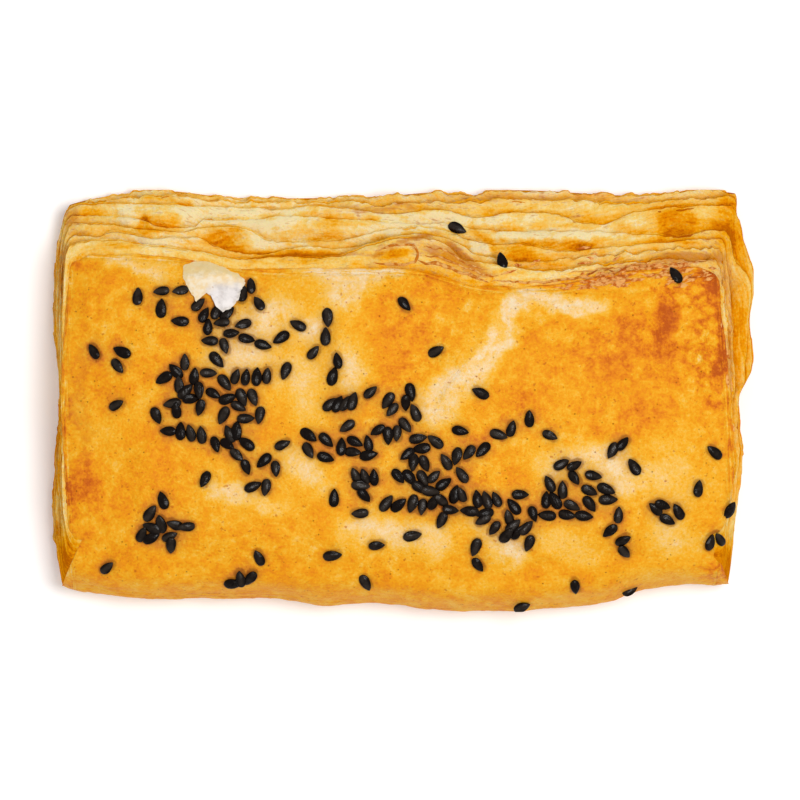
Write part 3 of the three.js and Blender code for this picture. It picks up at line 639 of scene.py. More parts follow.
# %% [markdown]
# ## How far each place is baked, and where light and shade are painted
# The finish reads seven numbers at every point of the crust. `pale` is where the glaze missed or the dough
# blistered away from the heat, and in part a painted highlight where the glaze catches the lamp. `tan` is
# where it caught, and in a strip along the left rim, which turns away from the lamp, painted shade. `amber`
# is the pool of darker glaze about seeds, in part painted shade between crowded seeds, and painted shade
# along the left rim. `ring` is a painted contact shadow right against a seed, `rim` rises towards the cut
# edges, `wrinkled` is where the skin shrank, and `roll` is how far round the front a place is. A painted
# picture could say the same, but numbers at the points need no unwrapping. The patches are written down
# as they lie on the real pie: middle, half length, half breadth, strength and, where there is one, a turn.

# %% Patches of the crust
# Pale patches where the glaze missed or the dough blistered; in part they are a painted highlight where the
# glaze catches the lamp.
PALE_AND_HIGHLIGHT = [
    [-8, 22.6, 11, 1.5, 0.9, -2], [-11, 18.4, 3.4, 3.6, 0.9], [-17, 13.4, 3, 2.4, 0.8],
    [-25, 16, 4.6, 4, 0.6], [-17, 7, 12, 9, 0.42], [-9, 5.4, 3.4, 4.6, 0.62, 10],
    [-20, 2.6, 4.4, 4, 0.4], [-27, 7.6, 4, 2.2, 0.4, -10], [19.6, 17.2, 2.6, 3.6, 0.95, -8],
    [16.4, 10, 2.8, 5, 1, -30], [11.6, 4.6, 3.6, 5, 0.9, -42], [6.6, -2, 4.6, 5, 0.85],
    [28, 17.6, 8, 2.3, 1.05, -3], [33, 15.4, 3, 2, 0.5], [10.4, 17.4, 2.8, 1.1, 0.6, 40],
    [5, 3, 5, 3, 0.4, 40], [31, -9.6, 8, 3.4, 0.75], [38.5, -13.4, 5, 3.6, 0.75, -30],
    [26.5, -13.4, 4, 2.6, 0.6], [45.5, -13, 4, 3.6, 0.4], [48, -24, 4.4, 5.6, 0.65],
    [53, -16, 6, 5, 0.45], [53.6, -27.6, 3, 2.4, 0.4], [49, -33, 7, 1.6, 0.6],
    [-17, -13.4, 6, 3.6, 0.85], [-21, -9.4, 4, 2.4, 0.35], [-31, -17.6, 7, 2.5, 0.85, -12],
    [-22.6, -20, 4, 2, 0.4], [0, -24, 8, 3.6, 0.75], [-8.4, -23, 5, 3.6, 0.6], [-11.6, -28, 3, 3, 0.35],
    [5.6, -27, 3, 3.4, 0.4], [17.4, -24.6, 5, 2.6, 0.65, -30], [20.6, -29, 3, 4, 0.45],
    [14.6, -33, 3, 2.4, 0.4], [2, -12, 6, 4, 0.4], [-50, 25.2, 9, 2.2, 0.75, -3],
    [-44, 22, 5, 2.4, 0.45], [-45, 16.6, 2.2, 2.6, 0.4], [-55, -6, 3.4, 4, 0.4],
    [-48, -1, 2.6, 5, 0.5, -30], [-36, -3, 4.6, 3, 0.45], [-34, 6.6, 3, 2, 0.5], [-61, 6, 1.6, 9, 0.25],
    [-30, -34, 7, 1.5, 0.4], [-8, -36.6, 18, 1.2, 0.1, -3], [22, -37.6, 18, 1.2, 0.1, 2],
    [-31.5, 12, 6, 5, 0.8], [41, 21.4, 5, 1.2, 0.4, 4], [51, 17, 2.6, 5, 0.3], [28, -25, 10, 4, 0.5],
    [44, -31, 3, 2, 0.3], [-17, 20, 9, 3.4, 0.3], [34, 16, 4, 4, 0.3], [38, -17, 5, 3, 0.4],
    [12, -21, 4, 3, 0.4], [49, -9, 4, 4, 0.4], [-17, -3, 5, 3, 0.35], [19, -28, 4, 3, 0.3],
    [34, -29, 5, 3, 0.3],
]
# Browned patches. The long strip along the left rim at x -61 is painted shade, as that side turns away from
# the lamp.
TAN_AND_SHADE = [
    [47.6, 15.4, 2.9, 6, 1.9, -6], [58.4, 15, 1.8, 9, 1.4], [56, 22.4, 3.6, 3, 1.5],
    [57.6, 5, 2.4, 4.4, 1.1], [57.4, -1, 2.2, 3, 0.7], [51.6, 10, 6, 9, 0.35],
    [-57.8, -15.4, 2.8, 6.4, 1.1, -8], [-56, -17, 5.6, 8, 0.5], [-60, 24.6, 2.4, 2.6, 1, 20],
    [-28, -27.4, 4.6, 3.6, 0.55], [-13.4, -26, 2.6, 3.4, 0.5], [-7, -31.4, 3.4, 2, 0.55],
    [23.4, -0.6, 1.8, 3, 0.7, 10], [23, 5, 2.4, 3, 0.35], [43.6, -4, 3.6, 2.8, 0.6],
    [49, -1.6, 3.4, 1.8, 0.45], [57, -24, 2.6, 3, 0.55], [55.6, -31.2, 3.4, 2.4, 0.9, 10],
    [39.4, -23, 2, 3.4, 0.5], [38, 9, 7, 6, 0.5], [25.6, 11.4, 3.4, 2.2, 0.5], [5, 21, 3.8, 2, 1, -10],
    [-3.6, 19.4, 3, 1.6, 0.45], [1, 11, 8, 9, 0.62], [13.6, 18.4, 1.8, 4.4, 0.5], [-53, 7, 4, 5, 0.35],
    [-43.6, 17, 3, 3, 0.3], [-46, 10, 8, 8, 0.2], [13, -28, 2.6, 2.6, 0.2], [-52, -28, 3, 3, 0.35],
    [36, -33.4, 5, 2, 0.2], [12, -6.6, 6, 1.5, 0.9, 6], [36, 22.4, 7, 1, 0.9, 6],
    [30, 7, 2.4, 2, 0.5, 30], [-22, 18.6, 4, 1.6, 0.3], [-34, -13, 3, 2, 0.3], [-39, -29, 4, 3, 0.3],
    [-3, 2.4, 4, 3, 0.4], [-14, -8.6, 5, 1.6, 0.5, -8], [20, -12, 2.6, 2, 0.4],
    [33.6, 18.6, 1.4, 0.9, 0.5], [47, -25, 2, 3, 0.2], [-62, -24, 1.6, 8, 0.4], [60, -10, 1.2, 8, 0.6],
    [-26, -12, 2, 3.4, 0.3], [44, 4, 6, 3, 0.3], [41.5, 12.5, 5, 5, 0.8], [34.5, 6, 4, 6, 0.4],
    [34, -6, 3, 3, 0.4], [55.6, 16, 3, 7, 0.7], [17.6, 17, 0.5, 4, 0.9, 6],
    [17, 12.4, 0.5, 3, 0.9, -14], [15, 8.4, 0.5, 3, 0.9, -38], [41.5, -5, 5, 6, 0.35],
    [30, -5, 12, 4, 0.2], [-2, 8, 5, 5, 0.45], [-61, -2, 2.4, 16, 0.5], [-59.4, -31, 3, 4, 0.5],
]
# Painted shade along the left rim, which turns away from the lamp, added to the amber.
LEFT_RIM_SHADE = [[-58, -2, 4, 12, 0.55], [-55, 14, 3, 5, 0.2]]
print(len(PALE_AND_HIGHLIGHT), "pale patches,", len(TAN_AND_SHADE), "browned ones and", len(LEFT_RIM_SHADE), "pools")

# %% The crust's numbers, and the piece


def patches(x, y, spots, fray=1.5):
    """Soft patches at x, y, like bumps, but with frayed edges."""
    flat = np.column_stack([x, y])

    def frayed(along, seed):
        return along + fray * (noise(flat, 6, seed) + 0.5 * noise(flat, 1.8, seed + 1))

    return bumps(frayed(x, 51), frayed(y, 53), spots)


HULL = 0.85  # how far a seed's sides are from its middle line
HALF_LINE = 0.75  # how long half of that line is
RIM_WIDTH = 3


def near_seeds(points, pool, ring):
    """For each point, how many seeds are about it, and how close it is to the side of one."""
    x, y, z = points.T
    crowd, beside = np.zeros(len(points)), np.zeros(len(points))
    for seed in seeds:
        about = np.flatnonzero((np.abs(x - seed["x"]) < 3 * pool) & (np.abs(y - seed["y"]) < 3 * pool))
        if not len(about):
            continue
        dx, dy = x[about] - seed["x"], y[about] - seed["y"]
        under = z[about][np.hypot(dx, dy).argsort()[:6]].max()
        dz = z[about] - under
        crowd[about] += np.exp(-(dx**2 + dy**2 + dz**2) / pool**2)
        along, aside = turned(dx, dy, seed["heading"])
        past = along - np.clip(along, -HALF_LINE, HALF_LINE)
        away = np.sqrt(past**2 + aside**2 + np.maximum(np.abs(dz) - 1, 0) ** 2)
        beside[about] = np.maximum(beside[about], 1 - ease(away, HULL, HULL + ring))
    return 1 - np.exp(-crowd), beside


x, y = points[:, 0], points[:, 1]
to_rim = np.minimum(RIM["back"](x) - y, np.minimum(x - RIM["left"](y), RIM["right"](y) - x))
# pool is how crowded the seeds are about a point: the finish uses it for glaze pooled among them and also
# for painted shade between them. ring is a painted contact shadow right against a seed.
pool, ring = near_seeds(points, pool=2.3, ring=0.5)
on_top = 1 - 0.8 * ease(spread(roll, extra), 0.3, 0.6)  # the patches don't run down the roll
crust = piece("crust", points, faces, {
    "pale": np.clip(patches(x, y, PALE_AND_HIGHLIGHT), 0, 1.3) * on_top,
    "tan": np.clip(patches(x, y, TAN_AND_SHADE), 0, 2.4) * on_top,
    "amber": pool + patches(x, y, LEFT_RIM_SHADE),
    "ring": ring * on_top,
    "rim": 1 - np.clip(to_rim / RIM_WIDTH, 0, 1),
    "wrinkled": bumps(x, y, WRINKLED) / 0.4,
    "roll": spread(roll, extra),
})

# %% [markdown]
# ## The leaves
# The solid has seven broad leaves on its cut sides. Here each is a ledge with a rounded lip and, in the
# riser below the lip, the thin edges of more sheets. On the back slope, which shows best, each ledge
# begins at a crease that was drawn from the real pie; on the sides the leaves are even and only wander.
# Separate sheets would cut through one another and leave gaps, so all of it is one net: a walk that goes
# up the right side, along the back and down the left, and dies out in the front roll.

# %% The columns of the wall
LEAVES = 7
UP_RIGHT, BACK, DOWN_LEFT = 150, 420, 150
side_up = np.linspace(-1, 1, UP_RIGHT, endpoint=False)
side_back = np.linspace(1, -1, BACK, endpoint=False)
side_down = np.linspace(1, -1, DOWN_LEFT)
wall = Wall(
    np.concatenate([np.ones(UP_RIGHT), side_back, -np.ones(DOWN_LEFT)]),
    np.concatenate([side_up, np.ones(BACK), side_down]),
    2 * HALF_WIDTH + np.concatenate([
        (side_up + 1) * HALF_DEPTH,
        2 * HALF_DEPTH + (1 - side_back) * HALF_WIDTH,
        2 * HALF_DEPTH + 2 * HALF_WIDTH + (1 - side_down) * HALF_DEPTH,
    ]),
)
loose = 1 - wall.rolled
print(len(wall.p), "columns, reaching out up to", wall.reach.max().round(1), "mm")

# %% The creases of the back slope
# Each is x, y, x, y and so on, from the left to the right, and they follow one another outward.
CREASES = [
    through(
        -62, 28.7, -52, 29, -46, 28, -37, 27, -29.5, 25.7, -22.5, 26, -11, 26.2, -4.2, 28.4, 0, 29.4,
        6.8, 29.2, 9.5, 28, 12, 25.8, 17, 25, 21.4, 24.3, 28, 23.5, 36, 24.5, 51, 25.5, 58, 25.4,
    ),
    through(
        -62, 30.5, -57.3, 29.9, -53, 30.6, -46, 29.5, -37, 29.4, -31.7, 27.2, -26, 26.6, -18.8, 27.8,
        -9.7, 27.7, -4, 29.1, 3, 30.4, 7, 30, 10.5, 29, 14.1, 26.8, 18, 26, 25, 25.2, 36, 26.2,
        51, 27.5, 58, 27.6,
    ),
    through(
        -62, 32.2, -55, 32.2, -50, 31.5, -41, 30.6, -36, 31.5, -29, 31.4, -24, 29.2, -18.8, 28.8,
        -9.7, 29.4, -1, 31.3, 6.8, 31.4, 12.3, 29.5, 15, 28.9, 18, 28.3, 22, 28.5, 28.7, 27.4,
        31.5, 27, 40, 27.9, 58, 29.6,
    ),
    through(
        -60, 33.8, -50, 33.4, -44, 31.6, -38, 31.8, -36, 33.2, -26, 33, -22.5, 33.6, -9.7, 33, 0, 32.3,
        8.6, 32.3, 14, 31.3, 19.6, 30.9, 36, 30.8, 47, 30.1, 51.6, 29.9, 58, 31,
    ),
    through(
        -61, 35.7, -48, 35.8, -30, 35.2, -22.5, 34.8, -15, 35.4, -8, 34.7, -2, 34, 7, 34.8, 13.5, 33.4,
        21.4, 34.3, 28.7, 33.8, 33, 32.5, 38, 32.3, 43.4, 34.4, 54.4, 35.5, 58, 35.6,
    ),
    through(
        -60, 36.2, -50, 37, -40, 37.1, -30, 36, -15, 36.4, -3, 35.6, 6, 36.6, 12, 36, 20, 37,
        40, 36, 58, 37.1,
    ),
]

LEAF_WANDER, WANDER_PHASE = 0.4, 1.7
LEAST_LEAF, LOWEST_LEAF = 0.015, 0.12  # the least shares of the way that any leaf and the lowest one take


def shares_of_creases():
    """The share of its way down the wall at which each column meets each crease."""
    t = np.linspace(0, 1, 201)
    level = np.maximum.accumulate(WALL_OUT["back"](t))
    near_back = ease(wall.q, 0.5, 1)
    deep = np.maximum(wall.foot[:, 1] - wall.rim[:, 1], 1)
    found = [np.zeros(len(wall.p))]
    for n, crease in enumerate(CREASES, start=1):
        wander = LEAF_WANDER * (1 - wall.rolled) * wave(wall.along, n * WANDER_PHASE)
        drawn = np.interp((crease(wall.foot[:, 0]) - wall.rim[:, 1]) / deep, level, t)
        drawn[:UP_RIGHT], drawn[-DOWN_LEFT:] = drawn[UP_RIGHT], drawn[-DOWN_LEFT - 1]
        drawn = np.minimum(drawn, 1 - LOWEST_LEAF * n / len(CREASES))
        found.append(np.maximum(between((n + wander) / LEAVES, drawn, near_back), found[-1] + LEAST_LEAF))
    return [*found, np.ones(len(wall.p))]


shares = shares_of_creases()
middle = UP_RIGHT + BACK // 2
print("creases at", [round(float(share[middle]), 2) for share in shares], "of the way behind the middle")

# %% Domes and hollows of the back slope
# Middle, half length, half breadth and height: blisters that held, and bubbles that burst.
BLISTERED = [
    [-50.3, 33.4, 2.1, 1.5, 0.9], [-43.5, 32.9, 3.4, 1.7, 1], [-39, 33.6, 2, 1.6, 0.5],
    [-58.5, 34.3, 2.5, 1.3, 0.6], [-47.3, 32.7, 0.8, 1.5, -0.9], [-31.8, 29.4, 4.4, 1.4, -1.2],
    [21.7, 26.7, 3.2, 1.3, 0.5], [49.5, 32.4, 3, 1.9, -1.7], [32.6, 27.9, 1.8, 0.7, -0.9],
    [14.4, 27.6, 2.2, 0.8, 0.4], [-24.5, 34, 2.4, 0.7, -0.5], [-46, 37.2, 3, 1, 0.8],
    [-37, 37, 3, 1, 0.8], [-19, 31.6, 6, 1.4, 0.5], [-4, 31.4, 6, 1.2, 0.4], [29, 29.4, 9, 1, 0.5],
    [36, 34.4, 4, 1, 0.4],
]


def along_noise(size, seed, octaves=2):
    """Noise that runs along the wall."""
    return noise(np.column_stack([wall.along, np.full(len(wall.along), seed * 7.7)]), size, seed, octaves)


print(len(BLISTERED), "domes and hollows")

# %% Walk down the wall, leaf by leaf
LEDGE_SHARES = (0.06, 0.18, 0.34, 0.5, 0.66, 0.8, 0.92)
SHEETS = (4, 2, 2, 2, 3, 3, 5)  # thin sheets in the riser under each leaf
# How brown the riser under each leaf of the back slope is, along X: in part baked brown, in part a painted
# shadow line under the lip.
SEAMS_AND_SHADOW_LINES = [
    through(-60, 0.5, -40, 0.35, -25, 0.8, -10, 1, 5, 1, 12, 0.9, 17, 0.5, 30, 0.7, 45, 1, 58, 1),
    through(-60, 0.8, -46, 0.5, -36, 0.2, -20, 0.15, -4, 0.5, 6, 0.7, 11, 0.7, 18, 0.3, 40, 0.5, 58, 0.8),
    through(-60, 0.9, -50, 0.4, -38, 0.3, -28, 0.35, -15, 0.1, 8, 0.3, 14, 0.7, 24, 0.3, 44, 0.5, 58, 0.7),
    through(-60, 0.9, -50, 0.6, -42, 0.7, -30, 0.3, -14, 0.1, 10, 0.1, 20, 0.3, 40, 0.2, 50, 0.4, 58, 0.6),
    through(-60, 0.8, -48, 0.3, -30, 0.15, -18, 0.2, -6, 0.7, 8, 0.8, 20, 0.5, 34, 0.7, 44, 0.5, 58, 0.8),
    through(-60, 0.7, -48, 0.2, -30, 0.2, -14, 0.4, 0, 0.9, 8, 0.9, 20, 0.6, 40, 0.6, 58, 0.8),
    through(-60, 0.6, -48, 0.1, -16, 0.1, 0, 0.6, 58, 0.6),
]
SIDE_SEAM_AND_SHADOW = 0.35  # how brown they are on the sides
LIP = 0.5  # how thick a leaf's own lip is, in millimetres
GROOVE = 0.7  # how far the next leaf begins under it
UNDER_CRUST, BELOW_CRUST = 1.6, 1.4  # where the first leaf begins, inward and down
FIRST_DROP, PILLOW, CURL = 0.8, 0.8, 0.2
LONG_JAGS, SHORT_JAGS = 0.42, 0.2
BROAD_FOLDS, FINE_FOLDS = 0.34, 0.3
SHEETS_STAND, SHEETS_FRAY = 0.34, 0.3


def leaf_rows():
    rows = []
    # groove and edge mark the creases and the risers, which the finish paints in shade; the seam number
    # carries the brown of each riser and its painted shadow line.
    fields = {"edge": [], "groove": [], "ledge": [], "seam": [], "across": []}
    behind = ease(wall.q, 0.9, 1)

    def put(out, down, part, lift=0.0, **numbers):
        """A row at a share out and a share down. Part is how far through its leaf it comes."""
        smooth = wall_at(between(shares[leaf], shares[leaf + 1], part), wall.p, wall.q)
        out, down = between(out, smooth[0], wall.rolled), between(down, smooth[1], wall.rolled)
        point = wall.point(out, down)
        point[:, 2] += lift
        rows.append(point)
        numbers["across"] = out * wall.reach + down * wall.top
        numbers["seam"] = seam
        for title, found in fields.items():
            found.append(numbers.get(title, 0.0) * (1 if title == "across" else loose))

    leaf, seam = 0, 0.5
    inner = wall_at(shares[0], wall.p, wall.q)[0] - UNDER_CRUST / wall.reach
    put(inner, BELOW_CRUST / wall.top, 0, groove=1)
    for leaf in range(LEAVES):
        above, below = wall_at(shares[leaf], wall.p, wall.q), wall_at(shares[leaf + 1], wall.p, wall.q)
        lowest = leaf == LEAVES - 1
        seam = between(SIDE_SEAM_AND_SHADOW, SEAMS_AND_SHADOW_LINES[leaf](wall.foot[:, 0]), behind)
        broken_right = ease(wall.foot[:, 0], 26, 38) * (leaf < 2)
        torn = loose * np.clip(0.4 + 0.5 * ease(leaf, 4, 5) + broken_right, 0, 1)
        jag = LONG_JAGS * along_noise(2.3, leaf + 160, 3) + SHORT_JAGS * along_noise(0.8, leaf + 200)
        jag = torn * (jag - 0.1)
        edge = np.maximum(below[0] + jag / wall.reach, inner + 0.2 / wall.reach)
        level = above[1] + (FIRST_DROP / wall.top if leaf == 0 else 0)
        width, drop = (edge - inner) * wall.reach, (below[1] - level) * wall.top
        lip = np.minimum(LIP, 0.4 * drop) / wall.top
        pillow = np.minimum(0.2 * width, PILLOW) * loose
        curl = CURL * along_noise(6, leaf + 240) * loose
        for share in LEDGE_SHARES:
            out = between(inner, edge, share)
            here = wall.point(out, level)
            puffed = np.sin(np.pi * share**0.8) * (0.6 + 0.4 * noise(here * [0.5, 1, 0.5], 6, leaf + 30))
            folds = FINE_FOLDS * noise(here * [0.2, 1, 0.6], 1.1, leaf + 40, 3)
            folds = (folds + BROAD_FOLDS * noise(here, 2.6, leaf + 80)) * np.minimum(width / 2, 1)
            blisters = bumps(here[:, 0], here[:, 1], BLISTERED) * np.sin(np.pi * share) ** 0.5
            lift = pillow * puffed + (folds + blisters) * loose + curl * share
            open_up = share * np.minimum(width / 1.5, 1)
            put(out, level, 0.5 * share, lift, groove=(1 - share) ** 3, ledge=open_up)
        put(edge - 0.1 / wall.reach, level + 0.15 * lip, 0.52, curl, ledge=1)
        put(edge, level + 0.6 * lip, 0.56, curl * 0.7, edge=1)
        span = (below[1] - level - lip) / SHEETS[leaf]
        for sheet in range(SHEETS[leaf]):
            seed = 300 + 20 * leaf + sheet
            upper = level + lip + span * (sheet + 0.25 * along_noise(8, seed))
            tuck = (0.3 + 0.3 * (1 + along_noise(5, seed + 100))) * loose
            frayed = SHEETS_FRAY * torn * along_noise(1.9, seed + 300, 3)
            stand = (SHEETS_STAND * along_noise(9, seed + 200) + frayed) * loose
            if lowest and sheet == SHEETS[leaf] - 1:
                stand = np.minimum(stand, 0)
            part = 0.6 + 0.38 * sheet / SHEETS[leaf]
            put(edge - tuck / wall.reach, upper, part, groove=0.9)
            put(edge + stand / wall.reach, upper + 0.3 * span, part + 0.02, edge=0.1)
            put(edge + stand / wall.reach, upper + 0.75 * span, part + 0.04, edge=0.3)
        inner = edge - GROOVE * loose / wall.reach
        if lowest:
            put(wall_at(shares[-1], wall.p, wall.q)[0], 1.0 + 0 * edge, 1, edge=0.5)
        else:
            put(inner, below[1], 1, groove=1)
    return np.array(rows), {title: np.array(numbers) for title, numbers in fields.items()}


leaf_points, leaf_fields = leaf_rows()
leaf_points[..., 2] = np.maximum(leaf_points[..., 2], 0)
print("the leaves have", len(leaf_points), "rows")

# %% Colours of places on the leaves, written down like the patches of the crust
# Places of deep gold on the leaves. In the hollows the gold is in part painted shade, and in the strip down
# the left wall, at x -63.4, which faces away from the lamp, it is painted shade.
GOLD_AND_SHADE = [
    [-31.8, 29.2, 4.8, 1.9, 1.3, 6], [21.7, 26.8, 3.4, 1.5, 1.1, -2], [49.4, 32.3, 3.4, 2.3, 1.3],
    [-1.2, 26.4, 3.4, 1.2, 1.2, 3], [-13, 31.4, 3.5, 3, 0.8], [15, 30, 3.4, 1.1, 0.9, -30],
    [-46, 31, 10, 1, 0.7], [-52, 28, 9, 0.9, 0.6], [-20, 25.3, 11, 1.2, 0.7],
    [28, 28.2, 7, 0.7, 0.6, -2], [32.6, 27.8, 2.2, 0.9, 1.2], [48, 29, 5, 0.8, 0.9],
    [62, 8, 3, 30, 0.7], [-63.4, -4, 1.4, 28, 0.6], [60, 33, 3.4, 6, 0.9], [-24.5, 34, 2.8, 0.9, 0.9],
    [-47.3, 32.4, 1, 1.8, 1.3], [-42.5, 33.3, 4.2, 2.2, 0.5], [-20, 26.6, 12, 0.9, 0.8],
    [27, 25, 8, 1.6, 0.6, 4], [-57, 33.8, 4, 2.4, 0.7], [8, 26.5, 3, 2, 0.7, -20],
    [-61, -31, 3, 7, 1.2], [58, -32, 4, 7, 1.2], [46, 36, 14, 2.4, 0.5], [54, 31, 5, 4, 0.3],
    [20, 36.4, 12, 1.2, 0.4],
]
CREAM = [
    [-1, 31.8, 9, 1.7, 1.1, 3], [14.4, 27.8, 2.5, 1.1, 1.3, -14], [25, 30, 9, 1, 1.1, -2],
    [-50.4, 33.2, 2, 1.7, 1.1], [-20, 29.6, 9, 1.2, 0.5, 4], [-41, 29.8, 5, 1.2, 0.7],
    [9, 33.2, 6, 1.3, 0.9, -6], [-26, 31, 3, 2.4, 0.8], [-38.5, 33.5, 2, 2, 0.7],
    [35, 30.2, 8, 0.8, 0.8, -1], [42, 32.5, 2.5, 1.4, 0.6], [-30, 33, 8, 1, 0.5, 4],
    [-44, 28.4, 8, 0.6, 0.7, -8], [22, 32.8, 6, 1.3, 0.5], [-25, 34, 12, 3, 0.5],
    [-24, 27.6, 8, 1.2, 0.4], [-34, 33, 20, 4.6, 0.3], [-56, 32, 5, 3, 0.3],
]
# Browned places on the leaves. The strip down the left wall, at x -63.6, is painted shade, as that wall
# faces away from the lamp.
BROWN_AND_SHADE = [
    [22, 37.2, 34, 1.3, 0.7], [-36, 37.4, 22, 0.8, 0.3], [-17, 26.1, 11, 0.45, 1.2, 2],
    [0, 29, 7, 0.5, 1.2, 14], [10, 27.4, 4, 0.6, 1, -44], [45, 24.6, 12, 1.3, 0.9, 5],
    [51, 26.2, 6, 1.2, 1], [-60.5, 33.3, 2.2, 2.6, 1], [59.4, 9, 1, 11, 1], [59.6, -6, 1.2, 7, 0.7],
    [58, -30, 4, 4, 0.6], [-3, 34.9, 12, 0.8, 0.9], [30, 33.4, 8, 0.8, 0.5], [50, 31.5, 3, 2, 0.5],
    [57, 30, 3, 5, 0.4, -40], [-61.5, 26, 2, 6, 0.3], [-58, 30, 3, 0.6, 0.7], [-63.6, -2, 1.2, 26, 0.6],
    [-2, 26.4, 8, 1.6, 0.5, 8], [8, 26.4, 7, 2, 0.9, -26], [58, 22, 2, 5, 0.7],
    [14, 23.6, 5, 1.2, 0.6, -20],
]
LEAF_WAYS = [(-3.0, 0.0), (-9.0, 0.0)]
points, faces, extra = closed_net(leaf_points[:, ::-1], LEAF_WAYS, np.array([0, -4, 8.0]))
x, y = points[:, 0], points[:, 1]
leaves = piece("leaves", points, faces, {
    "gold": np.clip(patches(x, y, GOLD_AND_SHADE, 0.5), 0, 1.4),
    "cream": np.clip(patches(x, y, CREAM, 0.5), 0, 1.2),
    "tan": np.clip(patches(x, y, BROWN_AND_SHADE, 0.5), 0, 1.3),
    "along": spread(np.broadcast_to(wall.along[::-1], leaf_points.shape[:2]), extra),
    **{title: spread(numbers[:, ::-1], extra) for title, numbers in leaf_fields.items()},
})

# %% [markdown]
# ## The sole
# Underneath, the dough lay on a hot tray: it is flat, darker and dry. The sole is a thin slab just
# inside the foot, so that it closes the pie from below and nothing else has to be tidy there.

# %% A slab inside the foot
SOLE_INSET, SOLE_THICK = 0.5, 1.2


def sole_rings():
    turn = np.linspace(0, 4, 480, endpoint=False)
    s = 2 * (turn % 1) - 1
    side = turn.astype(int)
    p = np.choose(side, [s, 1 + 0 * s, -s, -1 + 0 * s])
    q = np.choose(side, [-1 + 0 * s, s, 1 + 0 * s, -s])
    ring = Wall(p, q, 0 * p)
    out = wall_at(np.ones(len(p)), p, q)[0]
    return ring.point(out - SOLE_INSET / ring.reach, np.ones(len(p)))


def sole_piece():
    outline = sole_rings()[:, :2]
    edge = [(0.97, SOLE_THICK), (1, SOLE_THICK * 0.7), (1, 0.25), (0.996, 0)]
    rings = []
    for share, height in edge + [(share, 0) for share in np.linspace(0.97, 0, 28)[:-1]]:
        rings.append(np.column_stack([outline * share, np.full(len(outline), height)]))
    return piece("sole", *tube(np.array(rings), [0, 0, SOLE_THICK], [0, 0, 0]))


sole = sole_piece()

# %% [markdown]
# ## Things that lie on the pastry
# A seed, a flake or a shard has to touch what carries it. A physics simulation would drop it there and
# move it from its place. A tree of the faces made so far is quicker, and keeps the place: it answers
# where a line straight down meets the pastry and which way the face looks there.

# %% Where a drop would land
STEEPEST, HOLLOW = 0.8, 0.6  # the most that the tilt counts, and that a thing sinks between high spots
ground_points, ground_faces = [], []
for skin in (crust, leaves):
    start = len(ground_points)
    ground_points += [vertex.co.copy() for vertex in skin.data.vertices]
    ground_faces += [[start + n for n in face.vertices] for face in skin.data.polygons]
ground = BVHTree.FromPolygons(ground_points, ground_faces)


def land(x, y, around=0.8):
    """The point below x, y, in millimetres, and the face's way up, averaged over a few spots around."""
    found = []
    for dx, dy in [(0, 0), (around, 0), (-around, 0), (0, around), (0, -around)]:
        place, _, _, _ = ground.ray_cast(Vector(((x + dx) * MM, (y + dy) * MM, 0.1)), Vector((0, 0, -1)))
        if place is not None:
            found.append(np.array(place) / MM)
    spots = np.array(found)
    if len(spots) < 5:
        return Vector(spots[0]), Vector((0, 0, 1))
    heights = spots[:, 2]
    rises = [max(-STEEPEST, min(STEEPEST, heights[n] - heights[n - 1])) for n in (2, 4)]
    tilt = Vector((*rises, 2 * around))
    return Vector((x, y, max(heights.mean(), heights.max() - HOLLOW))), tilt.normalized()


print("the drop at 0, 0 lands at", tuple(round(n, 2) for n in land(0, 0)[0]))

# %% [markdown]
# ## The sesame
# A sesame seed is a flat teardrop with a low shoulder round its face. A squashed ball would have neither
# the point nor the shoulder. So a seed is a tube of rings whose width follows the teardrop, and the
# shoulder comes from squaring the circle of each ring. All seeds share one mesh. A seed that shares its
# place with an earlier one lies on it and tilts.

# %% One seed
SEED_LENGTH, SEED_WIDTH, SEED_THICKNESS = 3.3, 1.85, 1.0
RINGS, SIDES = 15, 24


def seed_shape():
    """Points and faces of a seed that lies along X, in half sizes: blunt at -1, pointed at 1."""
    at = -np.cos(np.linspace(0, np.pi, RINGS + 2)[1:-1])
    width = (1 + at) ** 0.5 * (1 - at) ** 0.78
    height = (1 + at) ** 0.4 * (1 - at) ** 0.5
    angle = np.arange(SIDES) / SIDES * 2 * np.pi
    across, up = np.cos(angle), np.sin(angle)
    up = np.sign(up) * np.abs(up) ** 0.55
    groove = 0.2 * np.exp(-(((np.abs(across) - 0.72) / 0.14) ** 2))
    dish = np.where(up > 0, 0.92 - groove, 1)
    rings = np.stack([
        np.broadcast_to(at[:, None], (RINGS, SIDES)),
        width[:, None] / width.max() * across,
        height[:, None] / height.max() * up * dish,
    ], axis=-1)
    return tube(rings, [-1, 0, 0], [1, 0, 0])


shape, shape_faces = seed_shape()
flat_face = np.where(shape[:, 2] > 0.1, 1 - ease(np.abs(shape[:, 1]), 0.3, 0.7), 0)
print("one seed has", len(shape_faces), "faces")

# %% All seeds
SEED_LIFT = 0.32  # of the thickness: the rest is sunk in the glaze
OVERLAP = 1.45  # two seeds whose middle lines pass nearer than this lie on each other
PILE_REACH, HIGHEST_PILE, MOST_TILT = 4, 0.85, 0.45
PRESSED_UP, PRESSED_OVER = 0.55, 0.32  # what a full overlap adds to the level and to the tilt


def ends_of(seed):
    reach = 0.55 * SEED_LENGTH / 2
    c, s = math.cos(seed["heading"]) * reach, math.sin(seed["heading"]) * reach
    return np.array([seed["x"] - c, seed["y"] - s]), np.array([seed["x"] + c, seed["y"] + s])


def gap_between(one, other):
    """The least distance between two seeds' middle lines, and where along the first it is."""
    a, b = ends_of(one)
    c, d = ends_of(other)
    t = np.linspace(0, 1, 9)
    first, second = a + (b - a) * t[:, None], c + (d - c) * t[:, None]
    apart = np.linalg.norm(first[:, None] - second[None], axis=-1)
    i, _ = np.unravel_index(apart.argmin(), apart.shape)
    return apart.min(), 2 * t[i] - 1


